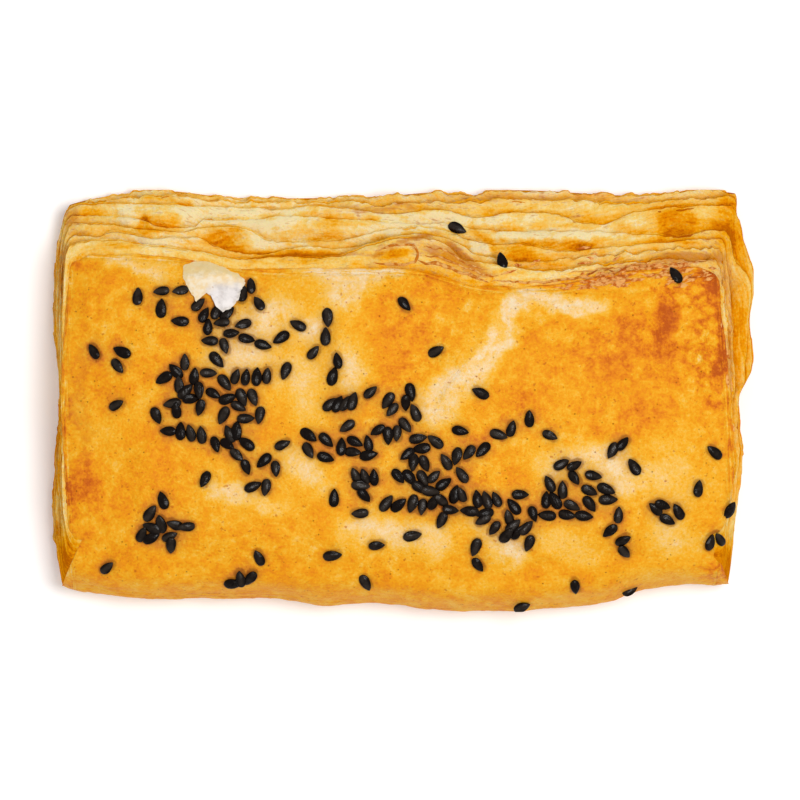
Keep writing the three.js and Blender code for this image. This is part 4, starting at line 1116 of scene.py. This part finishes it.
def lay_seeds():
    all_points, all_faces, shade = [], [], []
    for number, seed in enumerate(seeds):
        place, up = land(seed["x"], seed["y"])
        level, tilt = 0.0, seed["lean"]
        for other in seeds[:number]:
            if max(abs(other["x"] - seed["x"]), abs(other["y"] - seed["y"])) > PILE_REACH:
                continue
            apart, where = gap_between(seed, other)
            if apart < OVERLAP:
                press = 1 - apart / OVERLAP
                level = max(level, other["level"] * 0.6 + PRESSED_UP * press)
                tilt -= PRESSED_OVER * press * where
        seed["level"] = min(level, HIGHEST_PILE)
        spin = Euler((0, np.clip(tilt, -MOST_TILT, MOST_TILT), seed["heading"]), "XYZ").to_matrix()
        turn = Vector((0, 0, 1)).rotation_difference(up).to_matrix() @ spin
        half = np.array([SEED_LENGTH, SEED_WIDTH, SEED_THICKNESS]) / 2 * seed["size"]
        lift = SEED_THICKNESS * (SEED_LIFT + seed["level"])
        bend = shape * half + noise(shape * 2 + number * 3.1, 1.2, 7, 2)[:, None] * [0.03, 0.05, 0.04]
        laid = bend @ np.array(turn).T + np.array(place + up * lift)
        all_faces += [[n + len(shape) * number for n in face] for face in shape_faces]
        all_points.append(laid)
        shade.append(np.full(len(shape), lattice(np.array([number, 5]), 3) * 0.5 + 0.5))
    return np.concatenate(all_points), all_faces, np.concatenate(shade)


seed_points, seed_faces, seed_shade = lay_seeds()
sesame = piece("sesame", seed_points, seed_faces, {
    "shade": seed_shade, "face": np.tile(flat_face, len(seeds)),
})

# %% [markdown]
# ## The loose flake
# One leaf of pastry, paper thin and hardly baked, came off the back and lies over the seeds. A cloth
# simulation could lay it down, but it is small and stiff, so it is a fan of points from its middle out to
# a torn outline, laid on whatever is under it and crumpled a little.

# %% A torn leaf
FLAKE = [
    [-39.7, 24.4], [-40.1, 22.6], [-39.2, 20.4], [-37.6, 17.8], [-36.2, 19.7], [-34.9, 18.9],
    [-33.9, 16.9], [-32.8, 16.1], [-31, 17], [-29.7, 18.9], [-28.5, 21.3], [-30.2, 23], [-33.1, 24.4],
    [-37, 25.4],
]
FLAKE_THICK = 0.1
FLAKE_RINGS = 14
ABOVE_CRUST, ABOVE_SEEDS = 0.2, 0.85
OVER_SEEDS = (-21.5, -18.5)  # where, along -Y, it rises over the seeds


def torn(outline, steps, seed):
    """The outline with more points, torn a little."""
    points = []
    for n, (a, b) in enumerate(zip(outline, outline[1:] + outline[:1])):
        for t in np.arange(steps) / steps:
            points.append(between(np.array(a, float), np.array(b, float), t))
    points = np.array(points)
    middle = points.mean(0)
    return points + (points - middle) * 0.05 * noise(points, 0.9, seed, 3)[:, None]


def flake_piece():
    outline = torn(FLAKE, 8, 21)
    middle = outline.mean(0)
    flat = np.array([between(middle, outline, share) for share in np.linspace(0.02, 1, FLAKE_RINGS)])
    rows = np.zeros((FLAKE_RINGS, len(outline), 3))
    for i, j in np.ndindex(rows.shape[:2]):
        rows[i, j] = land(*flat[i, j], around=0.5)[0]
    crumple = 0.13 * noise(rows, 2.4, 31, 3) + 0.05 * noise(rows, 0.9, 33)
    over_seeds = ease(-rows[..., 1], *OVER_SEEDS)
    rows[..., 2] += ABOVE_CRUST + ABOVE_SEEDS * over_seeds + crumple * (0.5 + over_seeds)
    under = rows - [0, 0, FLAKE_THICK]
    count = len(outline)
    points = np.concatenate([rows.reshape(-1, 3), under.reshape(-1, 3)])
    over = net(FLAKE_RINGS, count, closed=True)
    faces = over.tolist() + (over[:, ::-1] + FLAKE_RINGS * count).tolist()
    rim, rim_under = (FLAKE_RINGS - 1) * count, (2 * FLAKE_RINGS - 1) * count
    for n in range(count):
        m = (n + 1) % count
        faces.append([rim + n, rim_under + n, rim_under + m, rim + m])
        faces.append([n, m, FLAKE_RINGS * count + m, FLAKE_RINGS * count + n])
    tip = ease(-points[:, 1], -23, -19) * ease(points[:, 0], -37.5, -34)
    outer = np.tile(np.repeat(np.linspace(0, 1, FLAKE_RINGS), count), 2)
    veil = ease(points[:, 1], 21, 24.6) + 0.45 * ease(outer, 0.72, 1)
    return piece("flake", points, faces, {"tip": tip, "veil": veil})


flake = flake_piece()

# %% [markdown]
# ## Curled lips and shards
# Where the crust meets the leaves it has pulled away in thin curled lips, and at the right of the back
# rim it is broken into shards. A lip could be a bevelled curve, but that is round and even. It is a thin
# ribbon of five lines instead, which stands a little proud of the pastry and follows it. Shards are small
# pointed chips, strewn mostly along the rim.

# %% Lips along the back rim
# Each lip: its width and height, and the points x, y that it follows.
LIPS = [
    [0.5, 0.45, [
        [-5.4, 27.0], [-2, 27.9], [0.6, 28.2], [2, 27.8], [2.7, 26.7], [2.7, 25.6], [1.7, 24.9],
        [-1.5, 24.6], [-5.4, 24.7],
    ]],
    [0.75, 0.6, [[2.6, 25.2], [4.6, 24.9], [6.8, 24.6], [9.2, 23.7], [11.5, 22.9], [15.6, 21.4]]],
    [0.4, 0.35, [[3.6, 26.4], [7.2, 25.8], [10, 24.6], [13.2, 23.4], [17.5, 22.3]]],
    [0.35, 0.3, [[3.6, 27.8], [6.8, 27.4], [9.2, 26.2], [11.8, 24.6], [15, 23.8]]],
    [0.45, 0.4, [[16, 21.6], [24, 21.4], [33, 22.2], [41, 23.4], [50, 24.8]]],
    [0.35, 0.3, [[30, 23.0], [38, 24.0], [46, 24.6], [56, 25.2]]],
]


def smooth_line(points, step):
    """Evenly spaced points on a smooth line through a few."""
    points = np.array(points, float)
    way = np.concatenate([[0], np.cumsum(np.linalg.norm(np.diff(points, axis=0), axis=1))])
    t = np.linspace(0, way[-1], int(way[-1] / step) + 2)
    curves = [through(*np.column_stack([way, points[:, axis]]).ravel()) for axis in (0, 1)]
    return np.column_stack([curve(t) for curve in curves])


def ribbon(line, wide, tall, seed):
    """A thin ridge along a line on the pastry, as rows of points round each spot of the line."""
    count = len(line)
    t = np.linspace(0, 1, count)
    taper = np.minimum(1, 6 * np.minimum(t, 1 - t)) ** 0.6 + 0.02
    way = np.gradient(line, axis=0)
    way = way / np.linalg.norm(way, axis=1, keepdims=True)
    aside = np.column_stack([-way[:, 1], way[:, 0]])
    line = line + aside * 0.25 * noise(line, 1.6, seed)[:, None]
    height = np.array([land(*spot, around=0.3)[0].z for spot in line])
    height = np.convolve(np.pad(height, 3, mode="edge"), np.ones(7) / 7, mode="valid")
    section = [(-1, -0.5), (-0.75, 0.55), (0, 1), (0.8, 0.5), (1, -0.5)]
    ring = []
    for across, up in section:
        flat = line + aside * (across * wide / 2 * taper * (1 + 0.3 * noise(line, 2, seed + 1)))[:, None]
        rise = up * tall * taper * (1 + 0.35 * noise(line, 1.4, seed + 2))
        ring.append(np.column_stack([flat, height + rise]))
    return np.array(ring).transpose(1, 0, 2)


def ribbon_faces(count, around, start):
    faces = net(count, around, closed=True) + start
    first = list(range(start, start + around))
    last = [number + around * (count - 1) for number in first]
    return faces[:, ::-1].tolist() + [first, last[::-1]]


lip_points, lip_faces = [], []
for number, (wide, tall, line) in enumerate(LIPS):
    rows = ribbon(smooth_line(line, 0.3), wide, tall, 60 + 5 * number)
    lip_faces += ribbon_faces(*rows.shape[:2], start=sum(len(part) for part in lip_points))
    lip_points.append(rows.reshape(-1, 3))
lips = piece("lips", np.concatenate(lip_points), lip_faces)

# %% Shards
# Where they lie: from x, y to x, y, how far aside, how many.
SHARD_RUNS = [
    [33, 21.8, 52, 24.4, 1.3, 90], [29, 20.6, 40, 21.4, 0.7, 24], [48, 21.5, 56, 22.8, 1.4, 20],
    [18, 24, 40, 27, 2, 8], [58, 16, 60, -6, 0.4, 8],
]


def shard(x, y, heading, long, wide, rise):
    """A thin pointed chip: four points above and four below."""
    place, up = land(x, y, around=0.4)
    flat = np.array([[-0.5, 0], [-0.05, 0.5], [0.5, 0.05], [0.1, -0.5]]) * [long, wide]
    over = np.column_stack([flat, [0.02, 0.14 + rise, 0.06 + rise, 0.1]])
    under = over - [0, 0, 0.13]
    turn = Vector((0, 0, 1)).rotation_difference(up) @ Quaternion((0, 0, 1), heading)
    return np.concatenate([over, under]) @ np.array(turn.to_matrix()).T + np.array(place)


def shard_faces(start):
    faces = [[0, 3, 2, 1], [4, 5, 6, 7], [0, 1, 5, 4], [1, 2, 6, 5], [2, 3, 7, 6], [3, 0, 4, 7]]
    return [[start + n for n in face] for face in faces]


draw = draws_from(4471)
shard_points, all_shard_faces = [], []
for x0, y0, x1, y1, aside, count in SHARD_RUNS:
    slope = math.atan2(y1 - y0, x1 - x0)
    for n in range(count):
        t = next(draw)
        spot = between(np.array([x0, y0]), np.array([x1, y1]), t)
        spot = spot + aside * (np.array([next(draw), next(draw)]) * 2 - 1)
        heading = slope + 0.9 * (next(draw) - 0.5)
        long, wide, rise = 1.2 + 2.2 * next(draw), 0.25 + 0.4 * next(draw), 0.35 * next(draw)
        all_shard_faces += shard_faces(8 * len(shard_points))
        shard_points.append(shard(*spot, heading, long, wide, rise))
shards = piece("shards", np.concatenate(shard_points), all_shard_faces)

# %% [markdown]
# ## Shader sums as plain sums
# A finish is a little sum: so much pale where the glaze missed, less where it is browned. Blender writes
# such sums as nodes, and linking a hundred of them by hand hides what they say. `Wire` lets them be
# written as Python: each + or * on a wire adds the node that does it, a Math node for numbers and a
# Vector Math node for places.

# %% Wires


class Wire:
    """A node's output that can be summed like a number."""

    def __init__(self, finish, socket):
        self.finish, self.socket = finish, socket

    def sum(self, operation, first, second):
        kind = "ShaderNodeMath" if self.socket.type == "VALUE" else "ShaderNodeVectorMath"
        return self.finish.node(kind, {"operation": operation}, {0: first, 1: second})

    def __add__(self, other):
        return self.sum("ADD", self, other)

    def __radd__(self, other):
        return self.sum("ADD", other, self)

    def __sub__(self, other):
        return self.sum("SUBTRACT", self, other)

    def __rsub__(self, other):
        return self.sum("SUBTRACT", other, self)

    def __mul__(self, other):
        return self.sum("MULTIPLY", self, other)

    def __rmul__(self, other):
        return self.sum("MULTIPLY", other, self)


print(Wire.__doc__)

# %% Finishes


class Finish:
    """A material whose nodes are made by calls."""

    def __init__(self, name):
        self.material = bpy.data.materials.new(name)
        self.material.use_nodes = True
        self.tree = self.material.node_tree
        self.tree.nodes.clear()

    def node(self, kind, settings=None, sockets=None, out=0):
        """Adds a node: its settings first, then the values or wires of its sockets."""
        made = self.tree.nodes.new(kind)
        for title, value in (settings or {}).items():
            if title == "stops":
                self.stops(made.color_ramp, value)
            else:
                setattr(made, title, value)
        for title, value in (sockets or {}).items():
            if isinstance(value, Wire):
                self.tree.links.new(value.socket, made.inputs[title])
            else:
                made.inputs[title].default_value = value
        return Wire(self, made.outputs[out]) if made.outputs else made

    def stops(self, ramp, stops):
        """Fills a ramp from rows of a place and the red, green and blue to be seen there."""
        while len(ramp.elements) < len(stops):
            ramp.elements.new(0.5)
        for element, (place, *colour) in zip(ramp.elements, stops):
            element.position = place
            element.color = seen(*colour)

    def field(self, title):
        """A number that the mesh carries."""
        return self.node("ShaderNodeAttribute", {"attribute_name": title}, out=2)

    def place(self):
        return self.node("ShaderNodeTexCoord", out=3)

    def way(self, along, across):
        """A place made of two numbers."""
        return self.node("ShaderNodeCombineXYZ", {}, {"X": along, "Y": across})

    def parts(self, place):
        """The three numbers of a place."""
        split = self.node("ShaderNodeSeparateXYZ", {}, {"Vector": place}).socket.node
        return [Wire(self, output) for output in split.outputs]

    def noise(self, size, place=None, out=0, **settings):
        """Random hills `size` millimetres across."""
        sockets = {title.capitalize(): value for title, value in settings.items()}
        sockets.update(Vector=place or self.place(), Scale=1 / (size * MM))
        return self.node("ShaderNodeTexNoise", {}, sockets, out)

    def grain(self, size, detail=3, place=None, roughness=0.55, distortion=0):
        """Hills from 0 to 1, finer with more detail."""
        return self.noise(size, place, detail=detail, roughness=roughness, distortion=distortion)

    def sway(self, size, detail=3, **more):
        """The same hills about 0, to push other numbers up and down."""
        return self.grain(size, detail, **more) - 0.5

    def warped(self, size, amount):
        """Places shifted by random hills, so that what is drawn at them winds."""
        shift = self.noise(size, out=1) - (0.5, 0.5, 0.5)
        return self.place() + shift * ((amount * MM,) * 3)

    def spots(self, size):
        """The distance to the nearest of many scattered points, as a share of size."""
        return self.node("ShaderNodeTexVoronoi", {}, {"Vector": self.place(), "Scale": 1 / (size * MM)})

    def rise(self, wire, start, end):
        """0 below start, 1 above end, smooth between."""
        settings = {"interpolation_type": "SMOOTHSTEP"}
        sockets = {"Value": wire, "From Min": start, "From Max": end}
        return self.node("ShaderNodeMapRange", settings, sockets)

    def mix(self, first, second, share):
        """The first colour where share is 0, the second where it is 1."""
        settings = {"data_type": "RGBA", "clamp_factor": True}
        return self.node("ShaderNodeMix", settings, {0: share, 6: first, 7: second}, out=2)

    def bump(self, height, depth):
        """A way the light sees the surface, raised by height times depth millimetres."""
        return self.node("ShaderNodeBump", {}, {"Height": height, "Distance": depth * MM, "Strength": 1.0})

    def coat(self, shown, **sockets):
        """Ends the finish in a Principled shader and puts it on a piece."""
        named = {title.replace("_", " "): value for title, value in sockets.items()}
        shader = self.node("ShaderNodeBsdfPrincipled", {}, named)
        self.node("ShaderNodeOutputMaterial", {}, {"Surface": shader})
        shown.data.materials.clear()
        shown.data.materials.append(self.material)
        print(self.material.name, "has", len(self.tree.nodes), "nodes")


print(Finish.__doc__, "They are", ", ".join(title for title in vars(Finish) if title[0] != "_"))

# %% Colours as they are seen
SHEEN = 0.013  # what the shine of the surface adds to every colour


def seen(red, green, blue):
    """The paint that looks like this screen colour, 0 to 255, where LIGHT falls on it."""
    def paint(part):
        part = part / 255
        linear = part / 12.92 if part <= 0.04045 else ((part + 0.055) / 1.055) ** 2.4
        return max(linear / LIGHT - SHEEN, 0.001)

    return (paint(red), paint(green), paint(blue), 1)


print("gold that looks 251, 169, 26 is", [round(part, 3) for part in seen(251, 169, 26)])

# %% [markdown]
# ## The glaze
# Beaten egg bakes to gold. It is thin and cloudy where it ran off or the dough blistered away from the
# heat, and in part that pale is a painted highlight, where the glaze catches the lamp. It is deep amber
# where it pooled against the seeds, and that amber is in part painted shade between crowded seeds; right
# against each seed is a thin painted contact shadow. It is brown where the dough stood up and caught.
# Along the left rim, which turns away from the lamp, amber and brown are painted shade. So the whole crust
# is one number, how far it is baked, with this painted light and shade folded in, which patches, clouds
# and grain push up and down, and one ramp turns it from cream through gold to brown. The shine is low: the
# glaze dried on rough dough.

# %% How far the crust is baked, from cream to brown
BAKING = [
    [0, 255, 230, 190], [0.15, 255, 215, 150], [0.3, 255, 201, 96], [0.44, 254, 186, 52],
    [0.56, 251, 169, 26], [0.68, 245, 151, 10], [0.8, 232, 130, 6], [0.9, 217, 112, 8], [1, 200, 96, 12],
]
glaze = Finish("glaze")
clouds = glaze.sway(10, 6, distortion=0.5)
curds = glaze.sway(2.6, 6, roughness=0.66)
grit = glaze.sway(0.5, 3)
# paleness is where the glaze missed, and in part a painted highlight; browning is where it caught, and
# along the left rim painted shade; pooled is glaze pooled about the seeds, and in part painted shade
# between crowded seeds and along the left rim.
paleness_and_highlight = glaze.rise(glaze.field("pale") + 1.6 * curds + 0.9 * clouds, 0.12, 0.95)
browning = glaze.rise(glaze.field("tan") + 1.4 * curds + 0.5 * clouds, 0.05, 2.4)
pooled_glaze_and_shade = glaze.rise(glaze.field("amber") + 0.9 * curds, 0.2, 1.0)
crisp = glaze.rise(glaze.field("rim") + 1.2 * curds, 0.7, 1.15)
cells = glaze.node("ShaderNodeTexVoronoi", {"feature": "DISTANCE_TO_EDGE"}, {
    "Vector": glaze.warped(0.8, 1.6), "Scale": 1 / (2.4 * MM),
})
veins = 1 - glaze.rise(cells, 0.0, 0.3)
mottled = glaze.rise(glaze.field("wrinkled") + 0.8 * curds, 0.2, 0.9)
# The cut rim and the foot show thin layers: streaks that run on along them and change across them.
RIM_RUN, FOOT_RUN, ROLL_LENGTH = 0.08, 0.07, 24
east, north, _ = glaze.parts(glaze.place())
rim_way = glaze.way((east + north) * RIM_RUN, glaze.field("rim") * RIM_WIDTH * MM)
layers = glaze.grain(0.4, 2, place=rim_way)
sheets = glaze.grain(0.6, 2, place=glaze.way(east * FOOT_RUN, glaze.field("roll") * ROLL_LENGTH * MM))
at_foot = glaze.rise(glaze.field("roll") + 0.2 * curds + 0.5 * clouds, 0.5, 0.68)
layered = glaze.rise(glaze.field("rim") + 0.7 * curds, 0.5, 0.75)
baked = 0.53 + 0.5 * clouds + 0.8 * curds + 0.5 * grit
baked = baked - 0.42 * paleness_and_highlight + 0.46 * browning + 0.08 * pooled_glaze_and_shade + 0.12 * crisp
baked = baked + veins * (0.04 + 0.24 * mottled) - 0.1 * mottled + 1.1 * layered * (layers - 0.54)
baked = baked + 0.8 * at_foot * (sheets - 0.5)
skin = glaze.node("ShaderNodeValToRGB", {"stops": BAKING}, {"Fac": baked})
print("the ramp of the glaze has", len(BAKING), "stops")

# %% Amber pools and painted shade about the seeds, wrinkles, pinholes and grain
# Amber where glaze pooled about the seeds, which is also painted shade between crowded seeds and along the
# left rim.
skin = glaze.mix(skin, seen(194, 132, 66), pooled_glaze_and_shade * 0.44)
# A thin dark line right against each seed is a painted contact shadow.
seed_contact_shadow = glaze.rise(glaze.field("ring") + 0.6 * curds, 0.1, 1.0)
skin = glaze.mix(skin, seen(124, 66, 18), seed_contact_shadow * (0.3 + 0.35 * pooled_glaze_and_shade))
pinholes = (1 - glaze.rise(glaze.spots(1.5), 0.05, 0.13)) * glaze.rise(glaze.grain(4, 2), 0.42, 0.6)
skin = glaze.mix(skin, seen(112, 52, 12), pinholes * 0.5)
flecks = glaze.rise(glaze.grain(0.9, 2), 0.66, 0.73)
skin = glaze.mix(skin, seen(190, 92, 14), flecks * 0.55)
skin_height = curds * 0.6 + grit * 0.8 + glaze.grain(0.22, 2) * 0.2 - pinholes * 0.5
skin_height = skin_height - veins * mottled * 0.5 + (layered * layers + at_foot * sheets) * 1.5
glaze.coat(
    crust,
    Base_Color=skin,
    Roughness=0.6 + 0.2 * curds,
    Normal=glaze.bump(skin_height, 0.26),
    Specular_IOR_Level=0.16,
    Subsurface_Weight=0.1,
    Subsurface_Radius=(1.0, 0.45, 0.12),
    Subsurface_Scale=0.7 * MM,
)

# %% [markdown]
# ## The leaves' finish
# Inside, the sheets never saw the glaze: they are pale yellow where they lie open. The creases and the
# risers under each lip are painted shade, a saturated gold, as light comes back there only through dough.
# Thin edges are brown, in part because they baked first and in part as a painted shadow line under each
# lip. Fine streaks follow each sheet, so the finish measures along the wall and across it, not in X and Y.

# %% The finish of the leaves
leafy = Finish("leaves")
sheet_way = leafy.way(leafy.field("along") * 0.22 * MM, leafy.field("across") * MM)
streaks = leafy.sway(0.6, 5, place=sheet_way)
bands = leafy.sway(2.4, 4, place=sheet_way)
blots = leafy.sway(2.4, 6, roughness=0.62)
dust = leafy.sway(0.5, 4)
# A ramp from the painted shade of creases and risers, a saturated gold, to the pale yellow of sheets that
# lie open.
SHADE_TO_OPEN = [
    [0, 206, 112, 8], [0.2, 240, 148, 14], [0.38, 251, 174, 40], [0.54, 255, 194, 80],
    [0.72, 255, 210, 112], [0.88, 255, 223, 146], [1, 255, 234, 178],
]
# lit is how light a sheet is painted. It is lowered as painted shade in the creases, on the risers under
# each lip and where gold is given.
lit = 0.58 + 0.24 * leafy.field("ledge") + 0.6 * streaks + 0.8 * bands + 0.9 * blots
lit = lit + 0.36 * leafy.rise(leafy.field("cream") + 1.2 * blots, 0.2, 0.9)
lit = lit - 0.42 * leafy.rise(leafy.field("gold") + 1.2 * blots, 0.25, 0.9)
lit = lit - 0.36 * leafy.field("groove") - 0.45 * leafy.field("edge")
sheet = leafy.node("ShaderNodeValToRGB", {"stops": SHADE_TO_OPEN}, {"Fac": lit + 0.6 * dust})
toasted = leafy.rise(leafy.field("tan") + 1.8 * streaks + blots, 0.3, 1.15)
sheet = leafy.mix(sheet, seen(208, 118, 30), toasted * 0.7)
# Brown along thin edges and in the grooves: in part browning, as these baked first, and in part a painted
# shadow line under each lip.
brown_seams_and_shadow_lines = leafy.field("seam") * (0.35 + 2 * leafy.field("edge") + leafy.field("groove"))
brown_seams_and_shadow_lines = leafy.rise(brown_seams_and_shadow_lines + 1.3 * blots + 1.2 * streaks, 0.5, 1.2)
sheet = leafy.mix(sheet, seen(188, 92, 18), brown_seams_and_shadow_lines * 0.7)
threads = leafy.rise(leafy.grain(0.3, 3, place=sheet_way) + 0.5 * blots, 0.6, 0.7)
sheet = leafy.mix(sheet, seen(204, 122, 36), threads * 0.4)
leafy.coat(
    leaves,
    Base_Color=sheet,
    Roughness=0.76 + 0.16 * streaks,
    Normal=leafy.bump(streaks * 0.5 + dust * 0.7 + blots, 0.34),
    Specular_IOR_Level=0.0,
    Subsurface_Weight=0.15,
    Subsurface_Radius=(1.0, 0.5, 0.14),
    Subsurface_Scale=0.9 * MM,
)

# %% [markdown]
# ## Sesame, flake, lips, shards, sole and table
# A black sesame seed is nearly black at its shoulder, and its flat face is painted a dull grey, a painted
# sheen. The flake is nearly white and lets the seeds show through its tip. Lips and shards are the crust's
# own edge, pale or browned in blots. The sole is brown, and darker where it touched the tray. None of them
# covers much of the pie, so each is made of a few hills of noise.

# %% The finish of the sesame
seedy = Finish("sesame")
# The flat face of each seed is painted a dull grey, a painted sheen.
painted_sheen = seedy.rise(0.7 * seedy.field("shade") + seedy.grain(0.8, 3), 0.5, 1.35) * seedy.field("face")
seedy.coat(
    sesame,
    Base_Color=seedy.mix((0.003, 0.0008, 0.0001, 1), (0.025, 0.018, 0.013, 1), painted_sheen),
    Roughness=0.16 + 0.2 * seedy.grain(0.5, 2),
    Normal=seedy.bump(seedy.grain(0.5, 2), 0.08),
    Specular_IOR_Level=0.11,
)

# %% The finish of the flake
papery = Finish("flake")
crinkles = papery.grain(1.8, 4)
bare = papery.rise(papery.field("tip") + 0.6 * (crinkles - 0.5), 0.1, 0.9)
paper = papery.mix(seen(253, 222, 170), seen(255, 238, 208), papery.rise(papery.grain(1.1, 4), 0.4, 0.62))
paper = papery.mix(paper, seen(252, 244, 240), bare)
paper = papery.mix(paper, seen(255, 230, 162), papery.rise(papery.field("veil"), 0.2, 1.0) * 0.7)
veiled = papery.rise(papery.field("veil") + 1.1 * papery.sway(0.9, 4), 0.15, 0.95)
papery.coat(
    flake,
    Base_Color=paper,
    Roughness=0.4 + 0.2 * papery.grain(1, 2),
    Normal=papery.bump(crinkles, 0.3),
    Alpha=0.98 - 0.3 * bare * papery.rise(crinkles, 0.4, 0.7) - 0.3 * veiled,
    Specular_IOR_Level=0.1,
)

# %% The finishes of the lips and shards


def blotchy(name, shown, pale, dark, size, detail, grit, depth):
    """A finish of two colours in blots, over grit of a size and depth."""
    finish = Finish(name)
    finish.coat(
        shown,
        Base_Color=finish.mix(seen(*pale), seen(*dark), finish.rise(finish.grain(size, detail), 0.42, 0.6)),
        Roughness=0.5 + 0.2 * finish.grain(0.8, 2),
        Normal=finish.bump(finish.grain(grit, 3), depth),
        Specular_IOR_Level=0.02,
    )


blotchy("curled_edge", lips, (248, 190, 112), (214, 128, 48), size=1.1, detail=4, grit=0.4, depth=0.1)
blotchy("shards", shards, (246, 182, 108), (206, 112, 50), size=1, detail=3, grit=0.3, depth=0.08)

# %% The finishes of the sole and the table
underside = Finish("sole")
darker = underside.rise(underside.grain(11, 4, distortion=0.8), 0.42, 0.62)
burnt = underside.rise(underside.grain(1.4, 4), 0.6, 0.75)
tray = underside.mix(seen(214, 150, 74), seen(160, 92, 34), darker)
tray = underside.mix(tray, seen(108, 58, 20), burnt * 0.6)
underside.coat(
    sole,
    Base_Color=tray,
    Roughness=0.68 + 0.15 * underside.grain(2, 2),
    Normal=underside.bump(underside.grain(0.9, 4), 0.2),
    Specular_IOR_Level=0.2,
)

linen = Finish("table")
linen.coat(
    table,
    Base_Color=linen.mix((0.91, 0.91, 0.91, 1), (0.93, 0.93, 0.93, 1), linen.grain(60, 2)),
    Roughness=0.85 + 0.05 * linen.grain(40, 2),
    Emission_Color=(1, 1, 1, 1),
    Emission_Strength=0.13,
)

# %% [markdown]
# ## Last look
# The dressed pie has to fill the same box as the solid, or things placed by the solid would touch air or
# cut into the crust. Both boxes are printed.

# %% Print both boxes and finish
dressed_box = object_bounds()
for title, box in (("solid", cad_box), ("dressed", dressed_box)):
    print(title, [round(number / MM, 2) for corner in box for number in corner], "mm")
